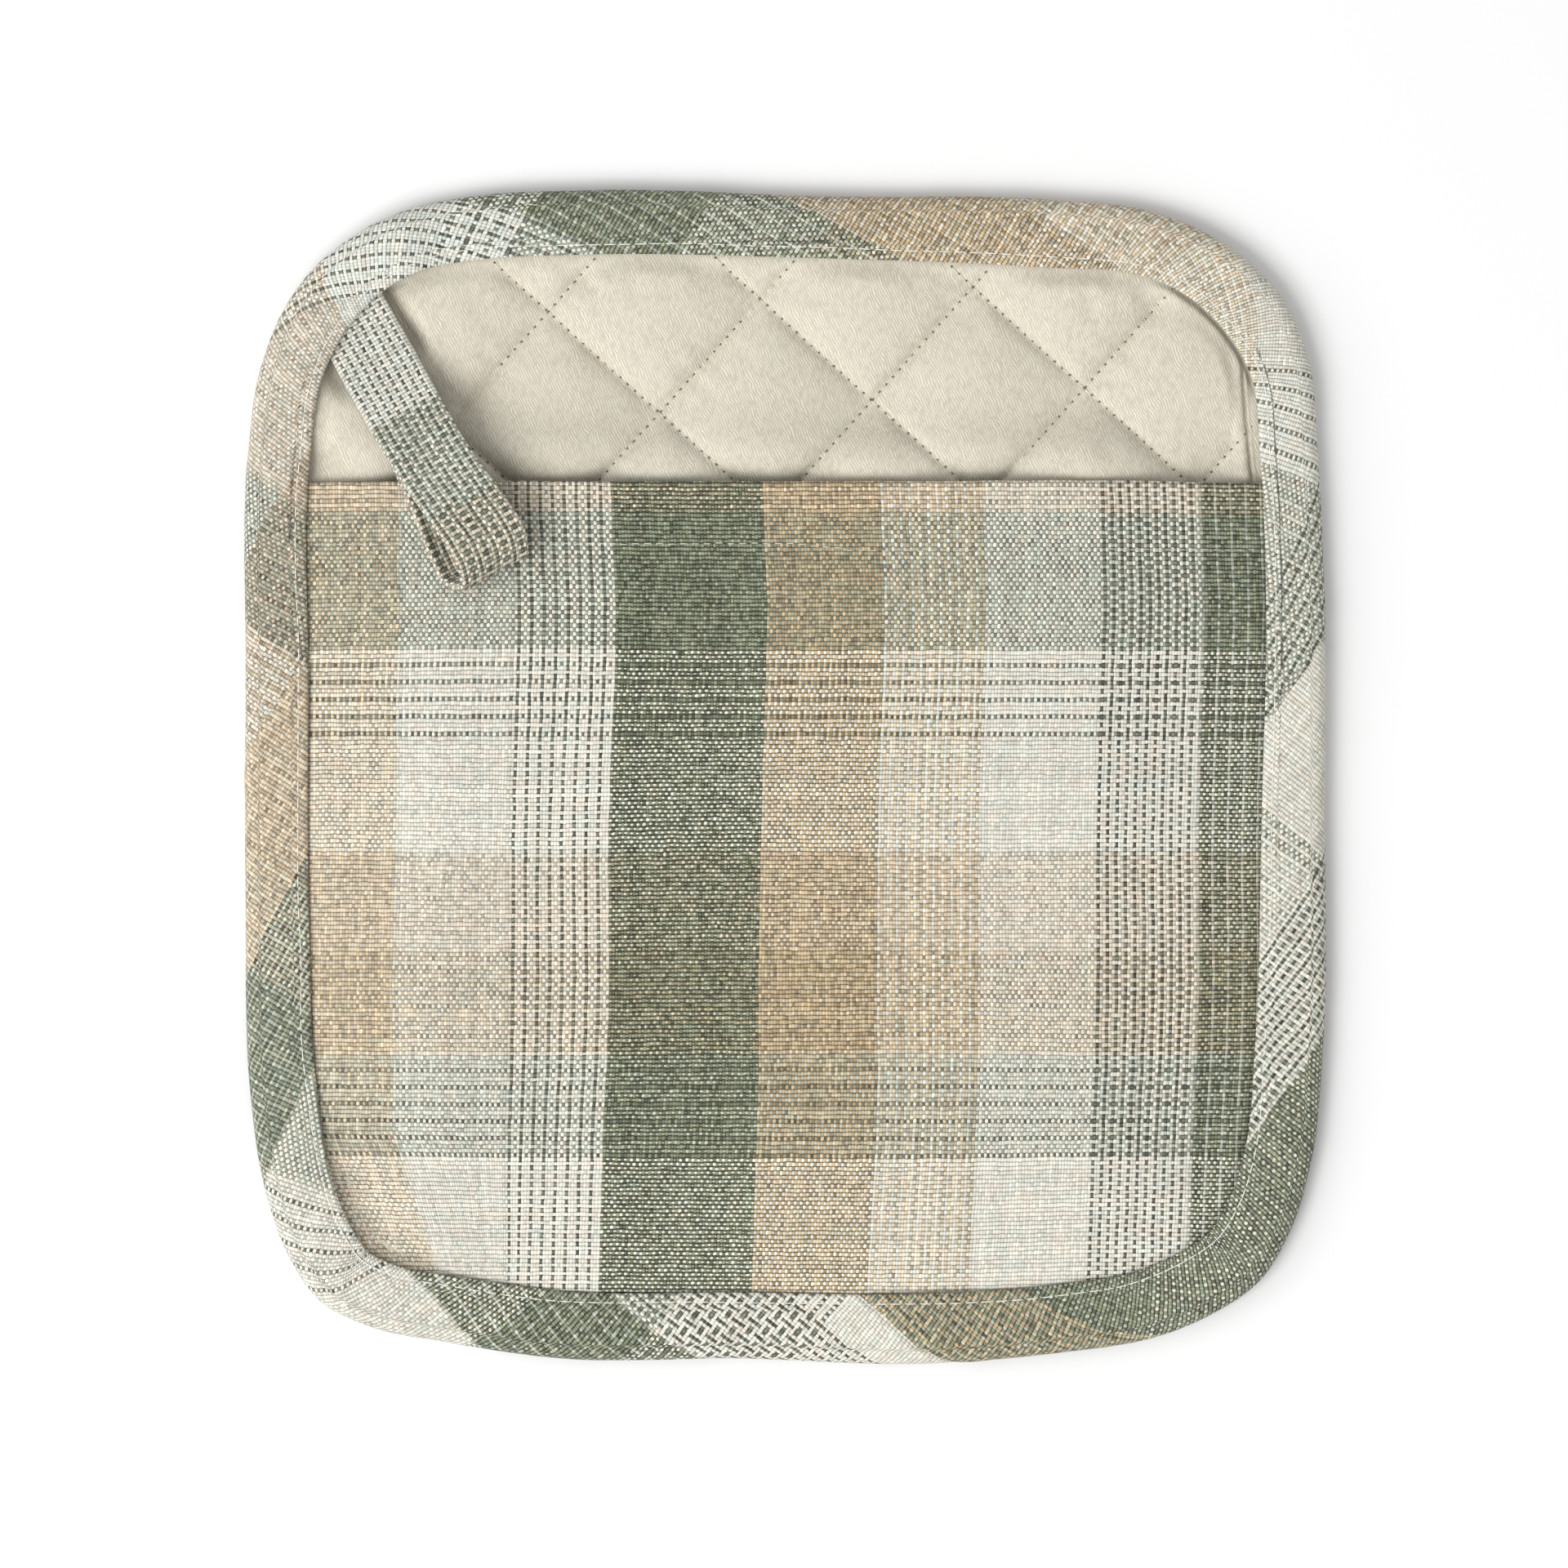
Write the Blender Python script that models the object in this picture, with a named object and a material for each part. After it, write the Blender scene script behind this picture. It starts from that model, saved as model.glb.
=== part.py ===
"""Quilted pot holder with a hand pocket, a bias binding and a folded hanging loop.

It lies on its back: +X is its right side, +Y its top edge with the loop, +Z up.
The origin is on the surface it lies on, under the middle of the piece.
Tables and sizes are in millimetres and become metres when a mesh is made.
"""

import math

import bmesh
import bpy
import numpy as np
from mathutils.geometry import delaunay_2d_cdt

MM = 0.001

# Driving dimensions.
CLOTH = 1.0             # woven cloth of the pocket
HEM_CLOTH = 1.7         # the same cloth folded double along the mouth
BINDING_CLOTH = 1.3     # bias strip, its raw edges turned in
TAPE_WIDTH = 15.0       # hanging loop
TAPE_CLOTH = 1.7
GAP = 0.3               # left between layers that touch

BINDING_HEIGHT = 7.0    # over the edge, outside to outside
BACK_FACE_SHORT = 1.8   # the binding's back face is this much narrower than its front
NOSE = 3.2              # depth of the binding's rounded outer fold
PAD_INSET = 2.4         # the quilted body stops this far inside the outer edge
POCKET_INSET = 4.2      # and the pocket's raw edge this far

QUILT_CROWN = 5.8       # top of a puff
QUILT_CHANNEL = 3.5     # bottom of a sewn line on the front
BACK_CHANNEL = 0.6      # depth of a sewn line on the back
SEAM_STRIP = 3.2        # flat cloth beside the puffs at the right, before the binding
PRESSED = 3.2           # top of the quilted body under the loop's bound ends
COVERED = BINDING_HEIGHT - BINDING_CLOTH - GAP  # top of what the binding lies on
SLACK = 0.1             # a little more room where the hem and the bare quilt go under it

MOUTH = 57.3            # height of the pocket's mouth above the middle
HEM = 12.7
POCKET_RISE = 6.3       # room for a hand: how far the pocket stands up at its foot
MOUTH_RISE = 6.9        # and at its mouth
POCKET_RAMP = 42.0      # from the binding to the level part of the pocket
MOUTH_EASE = (60.0, 68.0)   # over these heights the edge swells to the bare quilt's
GUTTER = (-88.0, -88.0)     # the pocket stays down beside the binding in this corner
GUTTER_WIDTH = 2.5

# Outer edge, counter-clockwise from the middle of the right side, with the width
# of the binding's front face at each place.
EDGE = (
    # place                          x       y       face
    ("right middle",                 105.1,    -8.0,   12.6),
    ("right shoulder",               104.8,    40.0,   11.5),
    ("top right, low",               103.7,    62.0,   11.4),
    ("top right, foot",              101.9,    81.0,   11.9),
    ("top right",                     97.9,    91.2,   12.8),
    ("top right, head",               91.4,    99.3,   13.0),
    ("top right, end",                80.6,   106.5,   12.6),
    ("top right part",                69.5,   110.5,   12.9),
    ("top, right of the middle",      52.0,   112.3,   13.4),
    ("top middle",                     8.0,   113.0,   12.3),
    ("top left part",                -40.0,   114.2,   12.8),
    ("top left, end",                -60.5,   113.0,   12.6),
    ("top left, high",               -72.5,   110.7,   12.4),
    ("top left, head",               -83.5,   105.6,   12.5),
    ("top left",                     -92.0,    98.7,   12.9),
    ("top left, foot",               -98.2,    89.6,   12.7),
    ("top left, low",               -102.2,    79.0,   12.3),
    ("left shoulder",               -104.6,    62.0,   12.3),
    ("left middle",                 -105.0,    20.0,   12.4),
    ("left hip",                    -105.0,   -30.0,   12.6),
    ("left, low",                   -104.2,   -60.0,   13.1),
    ("bottom left, top",            -101.0,   -81.0,   13.4),
    ("bottom left, foot",            -96.6,   -93.2,   13.6),
    ("bottom left",                  -90.0,  -102.4,   13.7),
    ("bottom left, end",             -80.5,  -107.1,   13.2),
    ("bottom left part",             -66.0,  -110.0,   13.2),
    ("bottom, left of the middle",   -46.0,  -113.0,   13.4),
    ("bottom middle",                 -8.0,  -113.2,   13.1),
    ("binding join",                  27.0,  -114.2,   13.9),
    ("bottom right part",             55.0,  -111.9,   13.5),
    ("bottom right, end",             71.5,  -109.2,   13.6),
    ("bottom right, low",             82.5,  -104.9,   13.8),
    ("bottom right",                  92.3,   -98.1,   13.8),
    ("bottom right, top",             98.6,   -87.7,   13.5),
    ("right, low",                   102.5,   -74.2,   13.3),
    ("right hip",                    104.7,   -53.0,   13.5),
)

# Where the binding is thicker than elsewhere.
SWELLINGS = (
    # place                       x       y      rise   level   fade
    ("over the loop's ends",     -86.0,   92.0,  1.9,   15.0,   10.0),
    ("join at the bottom",        28.0, -107.0,  0.5,    3.0,   10.0),
    ("join at the left",         -98.0,   12.0,  0.3,    2.0,    9.0),
    ("join at the right",         99.0,   20.0,  0.3,    2.0,    9.0),
    ("full bottom left corner",  -88.0,  -88.0,  0.8,   12.0,   22.0),
)

# Sewn lines of the quilting: direction across the lines, first line, spacing.
QUILTING = (
    # set             across x  across y  first  spacing
    ("falling lines",  0.673,    0.740,    6.3,   29.6),
    ("rising lines",   0.748,   -0.664,  -94.6,   29.3),
)

# Soft folds pressed into the pocket: a trough from one point to another.
POCKET_FOLDS = (
    # place                  x0     y0      x1     y1    depth  half width
    ("bottom left",        -84.0, -84.0,  -70.0, -62.0,  0.7,    5.0),
    ("bottom right",        83.0, -86.0,   74.0, -58.0,  0.6,    5.0),
    ("right of the foot",   62.0, -94.0,   58.0, -74.0,  0.4,    4.5),
)

# The loop leaves the binding here, in this direction.
LOOP_ROOT = (-83.4, 87.8)
LOOP_ALONG = (0.493, -0.870)
LOOP_ACROSS = (0.870, 0.493)

# Middle of the tape from its lower end, round the fold and back to its upper end.
LOOP_PATH = (
    # place                        along  height  sideways
    ("lower end, bound in",         -6.0,  4.45,   0.0),
    ("leaves the binding",           3.0,  4.50,   0.0),
    ("climbs onto the quilt",        8.0,  5.90,   0.0),
    ("on the quilt",                14.0,  8.10,   0.0),
    ("over the pocket's mouth",     30.0, 11.90,  -0.2),
    ("on the pocket",               40.0, 13.30,  -0.6),
    ("before the fold",             48.8, 13.50,  -1.2),
    ("fold begins",                 52.2, 13.85,  -1.4),
    ("outermost",                   55.0, 17.00,   0.0),
    ("fold ends",                   51.7, 20.20,   1.4),
    ("over the eye",                42.0, 20.00,   0.9),
    ("eye narrows",                 32.0, 17.00,   0.3),
    ("layers close",                22.0, 12.80,   0.0),
    ("down the quilt",              14.0, 10.15,   0.0),
    ("near the binding",             8.0,  7.95,   0.0),
    ("enters the binding",           3.0,  6.50,   0.0),
    ("upper end, bound in",         -6.0,  6.45,   0.0),
)

RIM_STEPS = 1800        # fine steps of the outer edge, for measuring distances
EDGE_STATIONS = 116     # sections of the binding, points of a ring on the cloths
LOOP_STATIONS = 54


def smooth(value, low, high):
    """Ease from 0 at low to 1 at high along a cubic S."""
    t = np.clip((np.asarray(value, dtype=float) - low) / (high - low), 0.0, 1.0)
    return t * t * (3.0 - 2.0 * t)


def curve_through(rows, count, closed=False):
    """Smooth curve through the rows, returned as `count` even steps along it.

    Each stretch is a cubic, and the slope at a row is that of the parabola through
    it and its two neighbours. Length is measured in the first two columns.
    """
    rows = np.asarray(rows, dtype=float)
    if closed:
        knots = np.vstack([rows[-1:], rows, rows[:2]])
    else:
        knots = np.vstack([2 * rows[:1] - rows[1:2], rows, 2 * rows[-1:] - rows[-2:-1]])
    chord = np.linalg.norm(np.diff(knots[:, :2], axis=0), axis=1)[:, None]
    slope = np.diff(knots, axis=0) / chord
    tangent = (slope[:-1] * chord[1:] + slope[1:] * chord[:-1]) / (chord[:-1] + chord[1:])
    t = np.linspace(0.0, 1.0, 60, endpoint=False)[:, None]
    spans = []
    for i in range(len(knots) - 3):
        spans.append(
            knots[i + 1] * (1 + 2 * t) * (1 - t) ** 2
            + knots[i + 2] * (3 - 2 * t) * t ** 2
            + chord[i + 1] * (tangent[i] * t * (1 - t) ** 2 - tangent[i + 1] * (1 - t) * t ** 2)
        )
    fine = np.vstack(spans + [knots[-2:-1]])
    travel = np.linalg.norm(np.diff(fine[:, :2], axis=0), axis=1)
    travel = np.concatenate([[0.0], np.cumsum(travel)])
    even = np.linspace(0.0, travel[-1], count, endpoint=not closed)
    return np.column_stack([np.interp(even, travel, column) for column in fine.T])


def rim(count):
    """Points of the outer edge, the inward direction there, and the face width."""
    around = curve_through([row[1:] for row in EDGE], count, closed=True)
    points = around[:, :2]
    forward = np.roll(points, -1, axis=0) - np.roll(points, 1, axis=0)
    forward /= np.linalg.norm(forward, axis=1)[:, None]
    inward = np.column_stack([-forward[:, 1], forward[:, 0]])
    return points, inward, around[:, 2]


RIM_POINTS, RIM_INWARD, RIM_FACE = rim(RIM_STEPS)


def inside_edge(points):
    """Distance of each point in from the outer edge, and in from the binding.

    Both are negative outside.
    """
    apart = np.linalg.norm(points[:, None, :] - RIM_POINTS[None, :, :], axis=2)
    nearest = apart.argmin(axis=1)
    side = ((points - RIM_POINTS[nearest]) * RIM_INWARD[nearest]).sum(axis=1)
    inset = np.copysign(apart.min(axis=1), side)
    return inset, inset - RIM_FACE[nearest]


def swelling(points):
    """How much the binding is raised at each point."""
    rise = np.zeros(len(points))
    for _, x, y, height, level, fade in SWELLINGS:
        apart = np.hypot(points[:, 0] - x, points[:, 1] - y)
        rise = np.maximum(rise, height * (1.0 - smooth(apart, level, level + fade)))
    return rise


def loop_place(points):
    """Distance of each point along the loop from its root, and to its side."""
    from_root = points - np.array(LOOP_ROOT)
    return from_root @ np.array(LOOP_ALONG), from_root @ np.array(LOOP_ACROSS)


def puff(points):
    """Fullness of the quilting: 0 on a sewn line, 1 in the middle of a diamond."""
    full = np.ones(len(points))
    for _, across_x, across_y, first, spacing in QUILTING:
        turn = (points @ np.array([across_x, across_y]) - first) / spacing
        full *= np.abs(np.sin(math.pi * turn))
    return full ** 0.55


def pad_edge(y):
    """Top of the quilted body under the binding: lower where the pocket lies on it."""
    under_pocket = COVERED - CLOTH - GAP
    under_hem = COVERED - HEM_CLOTH - GAP - SLACK
    bare = COVERED - SLACK
    top = under_pocket + (under_hem - under_pocket) * smooth(y, 30.0, 38.0)
    return top + (bare - under_hem) * smooth(y, *MOUTH_EASE)


def pad_top(points):
    """Upper face of the quilted body.

    The puffs rise from the binding's inner edge, sooner where the quilt is bare
    than under the pocket. A flat strip stays beside them at the upper right. The
    body is pressed down where the loop's two ends lie between it and the binding.
    """
    inset, inside = inside_edge(points)
    x, y = points.T
    quilt = QUILT_CHANNEL + (QUILT_CROWN - QUILT_CHANNEL) * puff(points)
    strip = SEAM_STRIP * smooth(x, 84.0, 89.0) * (1.0 - smooth(y, 78.0, 84.0))
    bare = smooth(inside - strip, 0.3, 4.5)
    covered = smooth(inside, 0.5, 14.0)
    rise = covered + (bare - covered) * smooth(y, *MOUTH_EASE)
    top = pad_edge(y) + (quilt - pad_edge(y)) * rise
    along, across = loop_place(points)
    pressed = (1.0 - smooth(along, 6.0, 14.0)) * (1.0 - smooth(np.abs(across), 13.0, 20.0))
    top += (np.minimum(top, PRESSED) - top) * pressed
    return round_off(points, top, inset, PAD_INSET, 1.0)


def pad_bottom(points):
    """Lower face: flat on the surface, shallow sewn lines, raised inside the binding."""
    inset, inside = inside_edge(points)
    groove = np.maximum(0.0, BACK_CHANNEL * (1.0 - 4.0 * puff(points)))
    lift = BINDING_CLOTH + GAP
    bottom = groove + (lift - groove) * (1.0 - smooth(inside, -1.2, 0.8))
    return round_off(points, bottom, inset, PAD_INSET, -0.8)


def round_off(points, height, inset, edge, drop):
    """Draw a face in by `drop` at the raw edge, so that the edge is rounded."""
    return height - drop * (1.0 - smooth(inset, edge, edge + 1.5))


def pocket_top(points):
    """Upper face of the pocket: level under the binding, then a low crown.

    The crown is a quarter sine over the ramp, a little higher at the mouth. The
    bottom left corner stays down in a gutter beside the binding.
    """
    _, inside = inside_edge(points)
    x, y = points.T
    rise = POCKET_RISE + (MOUTH_RISE - POCKET_RISE) * smooth(y, -20.0, MOUTH - HEM)
    corner = 1.0 - smooth(np.hypot(x - GUTTER[0], y - GUTTER[1]), 16.0, 42.0)
    climb = np.clip((inside - GUTTER_WIDTH * corner) / POCKET_RAMP, 0.0, 1.0)
    top = COVERED + rise * np.sin(0.5 * math.pi * climb)
    for _, x0, y0, x1, y1, depth, half_width in POCKET_FOLDS:
        run = np.array([x1 - x0, y1 - y0])
        length = np.linalg.norm(run)
        run /= length
        along = (points - (x0, y0)) @ run
        across = (points - (x0, y0)) @ np.array([-run[1], run[0]])
        fade = smooth(along, 0.0, 0.35 * length) * (1.0 - smooth(along, 0.5 * length, length))
        top -= depth * fade * np.exp(-(across / half_width) ** 2)
    return top


def pocket_bottom(points):
    """Lower face of the pocket: the hem's second layer is folded to the inside."""
    hem = smooth(points[:, 1], MOUTH - HEM, MOUTH - HEM + 1.0)
    return pocket_top(points) - CLOTH - (HEM_CLOTH - CLOTH) * hem


def ring(inset_of_face, stations=EDGE_STATIONS):
    """Points all round, at the distance in that inset_of_face gives for a face width."""
    points, inward, face = rim(stations)
    return points + inward * inset_of_face(face)[:, None]


def cloth_solid(name, boundary, inner, top, bottom):
    """Closed solid over a flat outline: top and bottom give its two faces' heights.

    The outline and the inner points are joined into triangles, the sheet is
    extruded, and each face of the pair is laid on its own height.
    """
    plan = np.vstack([boundary, inner])
    loop = list(range(len(boundary)))
    found = delaunay_2d_cdt([tuple(p) for p in plan], [], [loop], 1, 1e-6)
    flat = np.array([tuple(p) for p in found[0]])
    mesh = bpy.data.meshes.new(name)
    shape = bmesh.new()
    corners = [shape.verts.new((x, y, 0.0)) for x, y in flat]
    for face in found[2]:
        shape.faces.new([corners[i] for i in face])
    raised = bmesh.ops.extrude_face_region(shape, geom=shape.faces[:], use_keep_orig=True)
    upper = [item for item in raised["geom"] if isinstance(item, bmesh.types.BMVert)]
    for verts, height in ((corners, bottom), (upper, top)):
        places = np.array([v.co[:2] for v in verts])
        for vert, z in zip(verts, height(places)):
            vert.co.z = z
    bmesh.ops.scale(shape, vec=(MM, MM, MM), verts=shape.verts[:])
    face_outwards(shape)
    shape.to_mesh(mesh)
    shape.free()
    return mesh


def face_outwards(shape):
    """Turn all faces of a closed shape outwards, judged by its signed volume."""
    bmesh.ops.recalc_face_normals(shape, faces=shape.faces[:])
    if shape.calc_volume(signed=True) < 0.0:
        bmesh.ops.reverse_faces(shape, faces=shape.faces[:])


def swept_solid(name, sections, closed):
    """Solid made of like sections joined in order, capped unless it closes on itself."""
    mesh = bpy.data.meshes.new(name)
    shape = bmesh.new()
    rows = [[shape.verts.new(tuple(p)) for p in section] for section in sections * MM]
    if closed:
        pairs = list(zip(rows, rows[1:] + rows[:1]))
    else:
        pairs = list(zip(rows, rows[1:]))
        shape.faces.new(rows[0])
        shape.faces.new(rows[-1])
    for row, following in pairs:
        for i in range(len(row)):
            j = (i + 1) % len(row)
            shape.faces.new((row[i], row[j], following[j], following[i]))
    face_outwards(shape)
    shape.to_mesh(mesh)
    shape.free()
    return mesh


def place(name, mesh, colour, roughness):
    """Put the mesh in the scene as one object with its own material."""
    mesh.shade_smooth()
    mesh.set_sharp_from_angle(angle=math.radians(50.0))
    material = bpy.data.materials.new(name)
    material.use_nodes = True
    surface = material.node_tree.nodes["Principled BSDF"]
    surface.inputs["Base Color"].default_value = (*colour, 1.0)
    surface.inputs["Roughness"].default_value = roughness
    surface.inputs["Metallic"].default_value = 0.0
    mesh.materials.append(material)
    thing = bpy.data.objects.new(name, mesh)
    bpy.context.scene.collection.objects.link(thing)
    return thing


def quilt_points():
    """Points of the quilting inside the binding, on lines along both sewn sets.

    They are closer beside the sewn lines, and more in number where the quilt is
    bare than under the pocket.
    """
    fine = (0.0, 0.08, 0.25, 0.5, 0.75, 0.92)
    coarse = (0.0, 0.08, 0.5, 0.92)
    normals = np.array([row[1:3] for row in QUILTING])
    first = np.array([row[3] for row in QUILTING])
    spacing = np.array([row[4] for row in QUILTING])
    kept = []
    below = MOUTH - 6.0
    for steps, low, high in ((fine, below, math.inf), (coarse, -math.inf, below)):
        turns = np.array([turn + step for turn in range(-6, 9) for step in steps])
        one, other = np.meshgrid(turns, turns)
        across = np.column_stack([one.ravel(), other.ravel()]) * spacing + first
        points = np.linalg.solve(normals, across.T).T
        _, inside = inside_edge(points)
        kept.append(points[(inside > 2.6) & (points[:, 1] >= low) & (points[:, 1] < high)])
    return np.vstack(kept)


def make_pad():
    """Quilted body: one filled solid from the surface up to its puffs."""
    boundary = ring(lambda face: np.full_like(face, PAD_INSET))
    rings = [
        ring(lambda face: np.full_like(face, PAD_INSET + 1.6)),
        ring(lambda face: face - 1.3),
        ring(lambda face: face + 0.9),
    ]
    inner = np.vstack(rings + [quilt_points()])
    mesh = cloth_solid("pad", boundary, inner, pad_top, pad_bottom)
    return place("pad", mesh, (0.70, 0.65, 0.54), 0.75)


def make_pocket():
    """Pocket: a thin sheet from inside the binding up to its hemmed mouth."""
    def below_mouth(points):
        return points[points[:, 1] < MOUTH - 1.0]

    edge = ring(lambda face: np.full_like(face, POCKET_INSET))
    around = edge[:, 1] < MOUTH - 2.0
    start = int(np.flatnonzero(around & ~np.roll(around, 1))[0])
    edge = np.roll(edge, -start, axis=0)[: int(around.sum())]
    left, right = edge[0, 0], edge[-1, 0]
    across = np.linspace(right, left, 29)
    mouth = np.column_stack([across, np.full(len(across), MOUTH)])
    boundary = np.vstack([edge, mouth])
    rings = [
        below_mouth(ring(lambda face: face - 0.6)),
        below_mouth(ring(lambda face: face + 2.0)),
        below_mouth(ring(lambda face: face + 6.0)),
    ]
    spread, height = np.meshgrid(np.arange(-84.0, 85.0, 8.4), np.arange(-96.0, 40.0, 8.4))
    grid = np.column_stack([spread.ravel(), height.ravel()])
    _, inside = inside_edge(grid)
    grid = grid[inside > 10.0]
    hem_rows = []
    for y in (MOUTH - HEM, MOUTH - HEM + 1.0, MOUTH - 5.0):
        row = np.column_stack([across[1:-1], np.full(len(across) - 2, y)])
        _, inside = inside_edge(row)
        hem_rows.append(row[inside > 8.0])
    inner = np.vstack(rings + [grid] + hem_rows)
    mesh = cloth_solid("pocket", boundary, inner, pocket_top, pocket_bottom)
    return place("pocket", mesh, (0.46, 0.43, 0.34), 0.85)


def binding_section(face, height):
    """Section of the binding: distance in from the outer edge, and height.

    A back face, half an ellipse round the outer fold, a front face with a turned
    edge, and the same again inside, one thickness of the strip further in.
    """
    angles = np.radians((-90.0, -50.0, 0.0, 50.0, 90.0))
    middle = 0.5 * height
    back = face - BACK_FACE_SHORT
    outer = np.column_stack([
        NOSE - NOSE * np.cos(angles),
        middle + middle * np.sin(angles),
    ])
    inner = np.column_stack([
        NOSE - (NOSE - BINDING_CLOTH) * np.cos(angles),
        middle + (middle - BINDING_CLOTH) * np.sin(angles),
    ])[::-1]
    half = 0.5 * BINDING_CLOTH
    front_edge = [
        (0.62 * face, height + 0.15),
        (face - 0.8, height - 0.05),
        (face, height - half - 0.1),
        (face - 0.6, height - BINDING_CLOTH),
    ]
    back_edge = [(back - 0.5, BINDING_CLOTH), (back, half), (back - 0.5, 0.0)]
    return np.vstack([outer, front_edge, inner, back_edge])


def make_binding():
    """Bias binding: its section carried all round the outer edge."""
    points, inward, face = rim(EDGE_STATIONS)
    height = BINDING_HEIGHT + swelling(points + inward * 0.5 * face[:, None])
    sections = []
    for point, direction, width, tall in zip(points, inward, face, height):
        depth, level = binding_section(width, tall).T
        plan = point + depth[:, None] * direction
        sections.append(np.column_stack([plan, level]))
    mesh = swept_solid("binding", np.array(sections), closed=True)
    return place("binding", mesh, (0.43, 0.41, 0.33), 0.85)


def tape_section():
    """Half width and thickness of the tape as a flat section with soft edges."""
    side, thick = 0.5 * TAPE_WIDTH, 0.5 * TAPE_CLOTH
    return np.array([
        (-side, 0.0), (-side + 0.5, -thick), (side - 0.5, -thick),
        (side, 0.0), (side - 0.5, thick), (-side + 0.5, thick),
    ])


def make_loop():
    """Hanging loop: the tape's section carried out, round the fold and back."""
    along, height, shift = curve_through([row[1:] for row in LOOP_PATH], LOOP_STATIONS).T
    forward = np.gradient(np.column_stack([along, height]), axis=0)
    forward /= np.linalg.norm(forward, axis=1)[:, None]
    lengthwise = np.array([*LOOP_ALONG, 0.0])
    sideways = np.array([*LOOP_ACROSS, 0.0])
    upward = np.array([0.0, 0.0, 1.0])
    root = np.array([*LOOP_ROOT, 0.0])
    sections = []
    for i in range(len(along)):
        middle = root + along[i] * lengthwise + height[i] * upward + shift[i] * sideways
        outward = -forward[i, 1] * lengthwise + forward[i, 0] * upward
        flat = tape_section()
        sections.append(middle + flat[:, :1] * sideways + flat[:, 1:] * outward)
    mesh = swept_solid("loop", np.array(sections), closed=False)
    return place("loop", mesh, (0.40, 0.40, 0.34), 0.85)


for old in list(bpy.data.objects):
    bpy.data.objects.remove(old, do_unlink=True)

make_pad()
make_pocket()
make_binding()
make_loop()
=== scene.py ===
"""Quilted pot holder with a plaid hand pocket, a bias binding and a folded hanging loop.

It lies on its back on a pale floor and is seen from straight above. Sizes in the tables
are in millimetres: +X right, +Y towards the loop, +Z up from the floor.
"""

import math

import bpy
import numpy as np
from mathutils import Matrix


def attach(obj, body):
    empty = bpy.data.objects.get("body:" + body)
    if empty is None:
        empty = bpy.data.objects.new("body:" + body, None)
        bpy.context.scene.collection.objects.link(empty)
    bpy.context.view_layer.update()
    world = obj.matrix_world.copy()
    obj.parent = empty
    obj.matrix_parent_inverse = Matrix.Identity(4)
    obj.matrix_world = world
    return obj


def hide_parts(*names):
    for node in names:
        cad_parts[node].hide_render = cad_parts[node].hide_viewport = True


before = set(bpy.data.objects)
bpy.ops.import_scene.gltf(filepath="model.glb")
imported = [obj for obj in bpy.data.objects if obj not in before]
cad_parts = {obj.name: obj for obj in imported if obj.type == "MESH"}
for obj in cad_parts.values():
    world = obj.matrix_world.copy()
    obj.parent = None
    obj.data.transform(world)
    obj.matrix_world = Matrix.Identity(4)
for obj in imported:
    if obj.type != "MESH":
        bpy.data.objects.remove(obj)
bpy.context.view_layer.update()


# ---------------------------------------------------------------- quilted body
# Cream cotton satin over wadding, sewn through on crossing diagonal lines. The front
# is bare above the pocket's mouth; the back is quilted on the same lines.

MM = 0.001

# Outer edge of the pot holder, counter-clockwise from the middle of the right side,
# with the width of the binding's front face at each place.
EDGE = (    # x, y, face
    (105.1, -8.0, 12.6), (104.8, 40.0, 11.5), (103.7, 62.0, 11.4),
    (101.9, 81.0, 11.9), (97.9, 91.2, 12.8), (91.4, 99.3, 13.0),
    (80.6, 106.5, 12.6), (69.5, 110.5, 12.9), (52.0, 112.3, 13.4),
    (8.0, 113.0, 12.3), (-40.0, 114.2, 12.8), (-60.5, 113.0, 12.6),
    (-72.5, 110.7, 12.4), (-83.5, 105.6, 12.5), (-92.0, 98.7, 12.9),
    (-98.2, 89.6, 12.7), (-102.2, 79.0, 12.3), (-104.6, 62.0, 12.3),
    (-105.0, 20.0, 12.4), (-105.0, -30.0, 12.6), (-104.2, -60.0, 13.1),
    (-101.0, -81.0, 13.4), (-96.6, -93.2, 13.6), (-90.0, -102.4, 13.7),
    (-80.5, -107.1, 13.2), (-66.0, -110.0, 13.2), (-46.0, -113.0, 13.4),
    (-8.0, -113.2, 13.1), (27.0, -114.2, 13.9), (55.0, -111.9, 13.5),
    (71.5, -109.2, 13.6), (82.5, -104.9, 13.8), (92.3, -98.1, 13.8),
    (98.6, -87.7, 13.5), (102.5, -74.2, 13.3), (104.7, -53.0, 13.5),
)

# Sewn lines, falling and then rising: direction across them, first line and spacing.
QUILTING = (
    ((0.673, 0.740), 6.3, 29.6),
    ((0.748, -0.664), -94.6, 29.3),
)
QUILT_CROWN = 5.8         # top of a diamond under the pocket
QUILT_CHANNEL = 3.3       # bottom of a sewn line
BARE_RISE = 1.1           # the bare quilt is fuller than the covered one
PUFF_VARIETY = 0.10       # share by which one diamond differs from another
BACK_CHANNEL = 0.6        # depth of the sewn lines on the back
BACK_RISE = 1.6           # the back lies this high inside the binding's back face
STITCH = 1.95
PAD_ROUND = (2.4, 3.9)    # its cut edge, in from the outer edge, is rounded up to here

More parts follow.
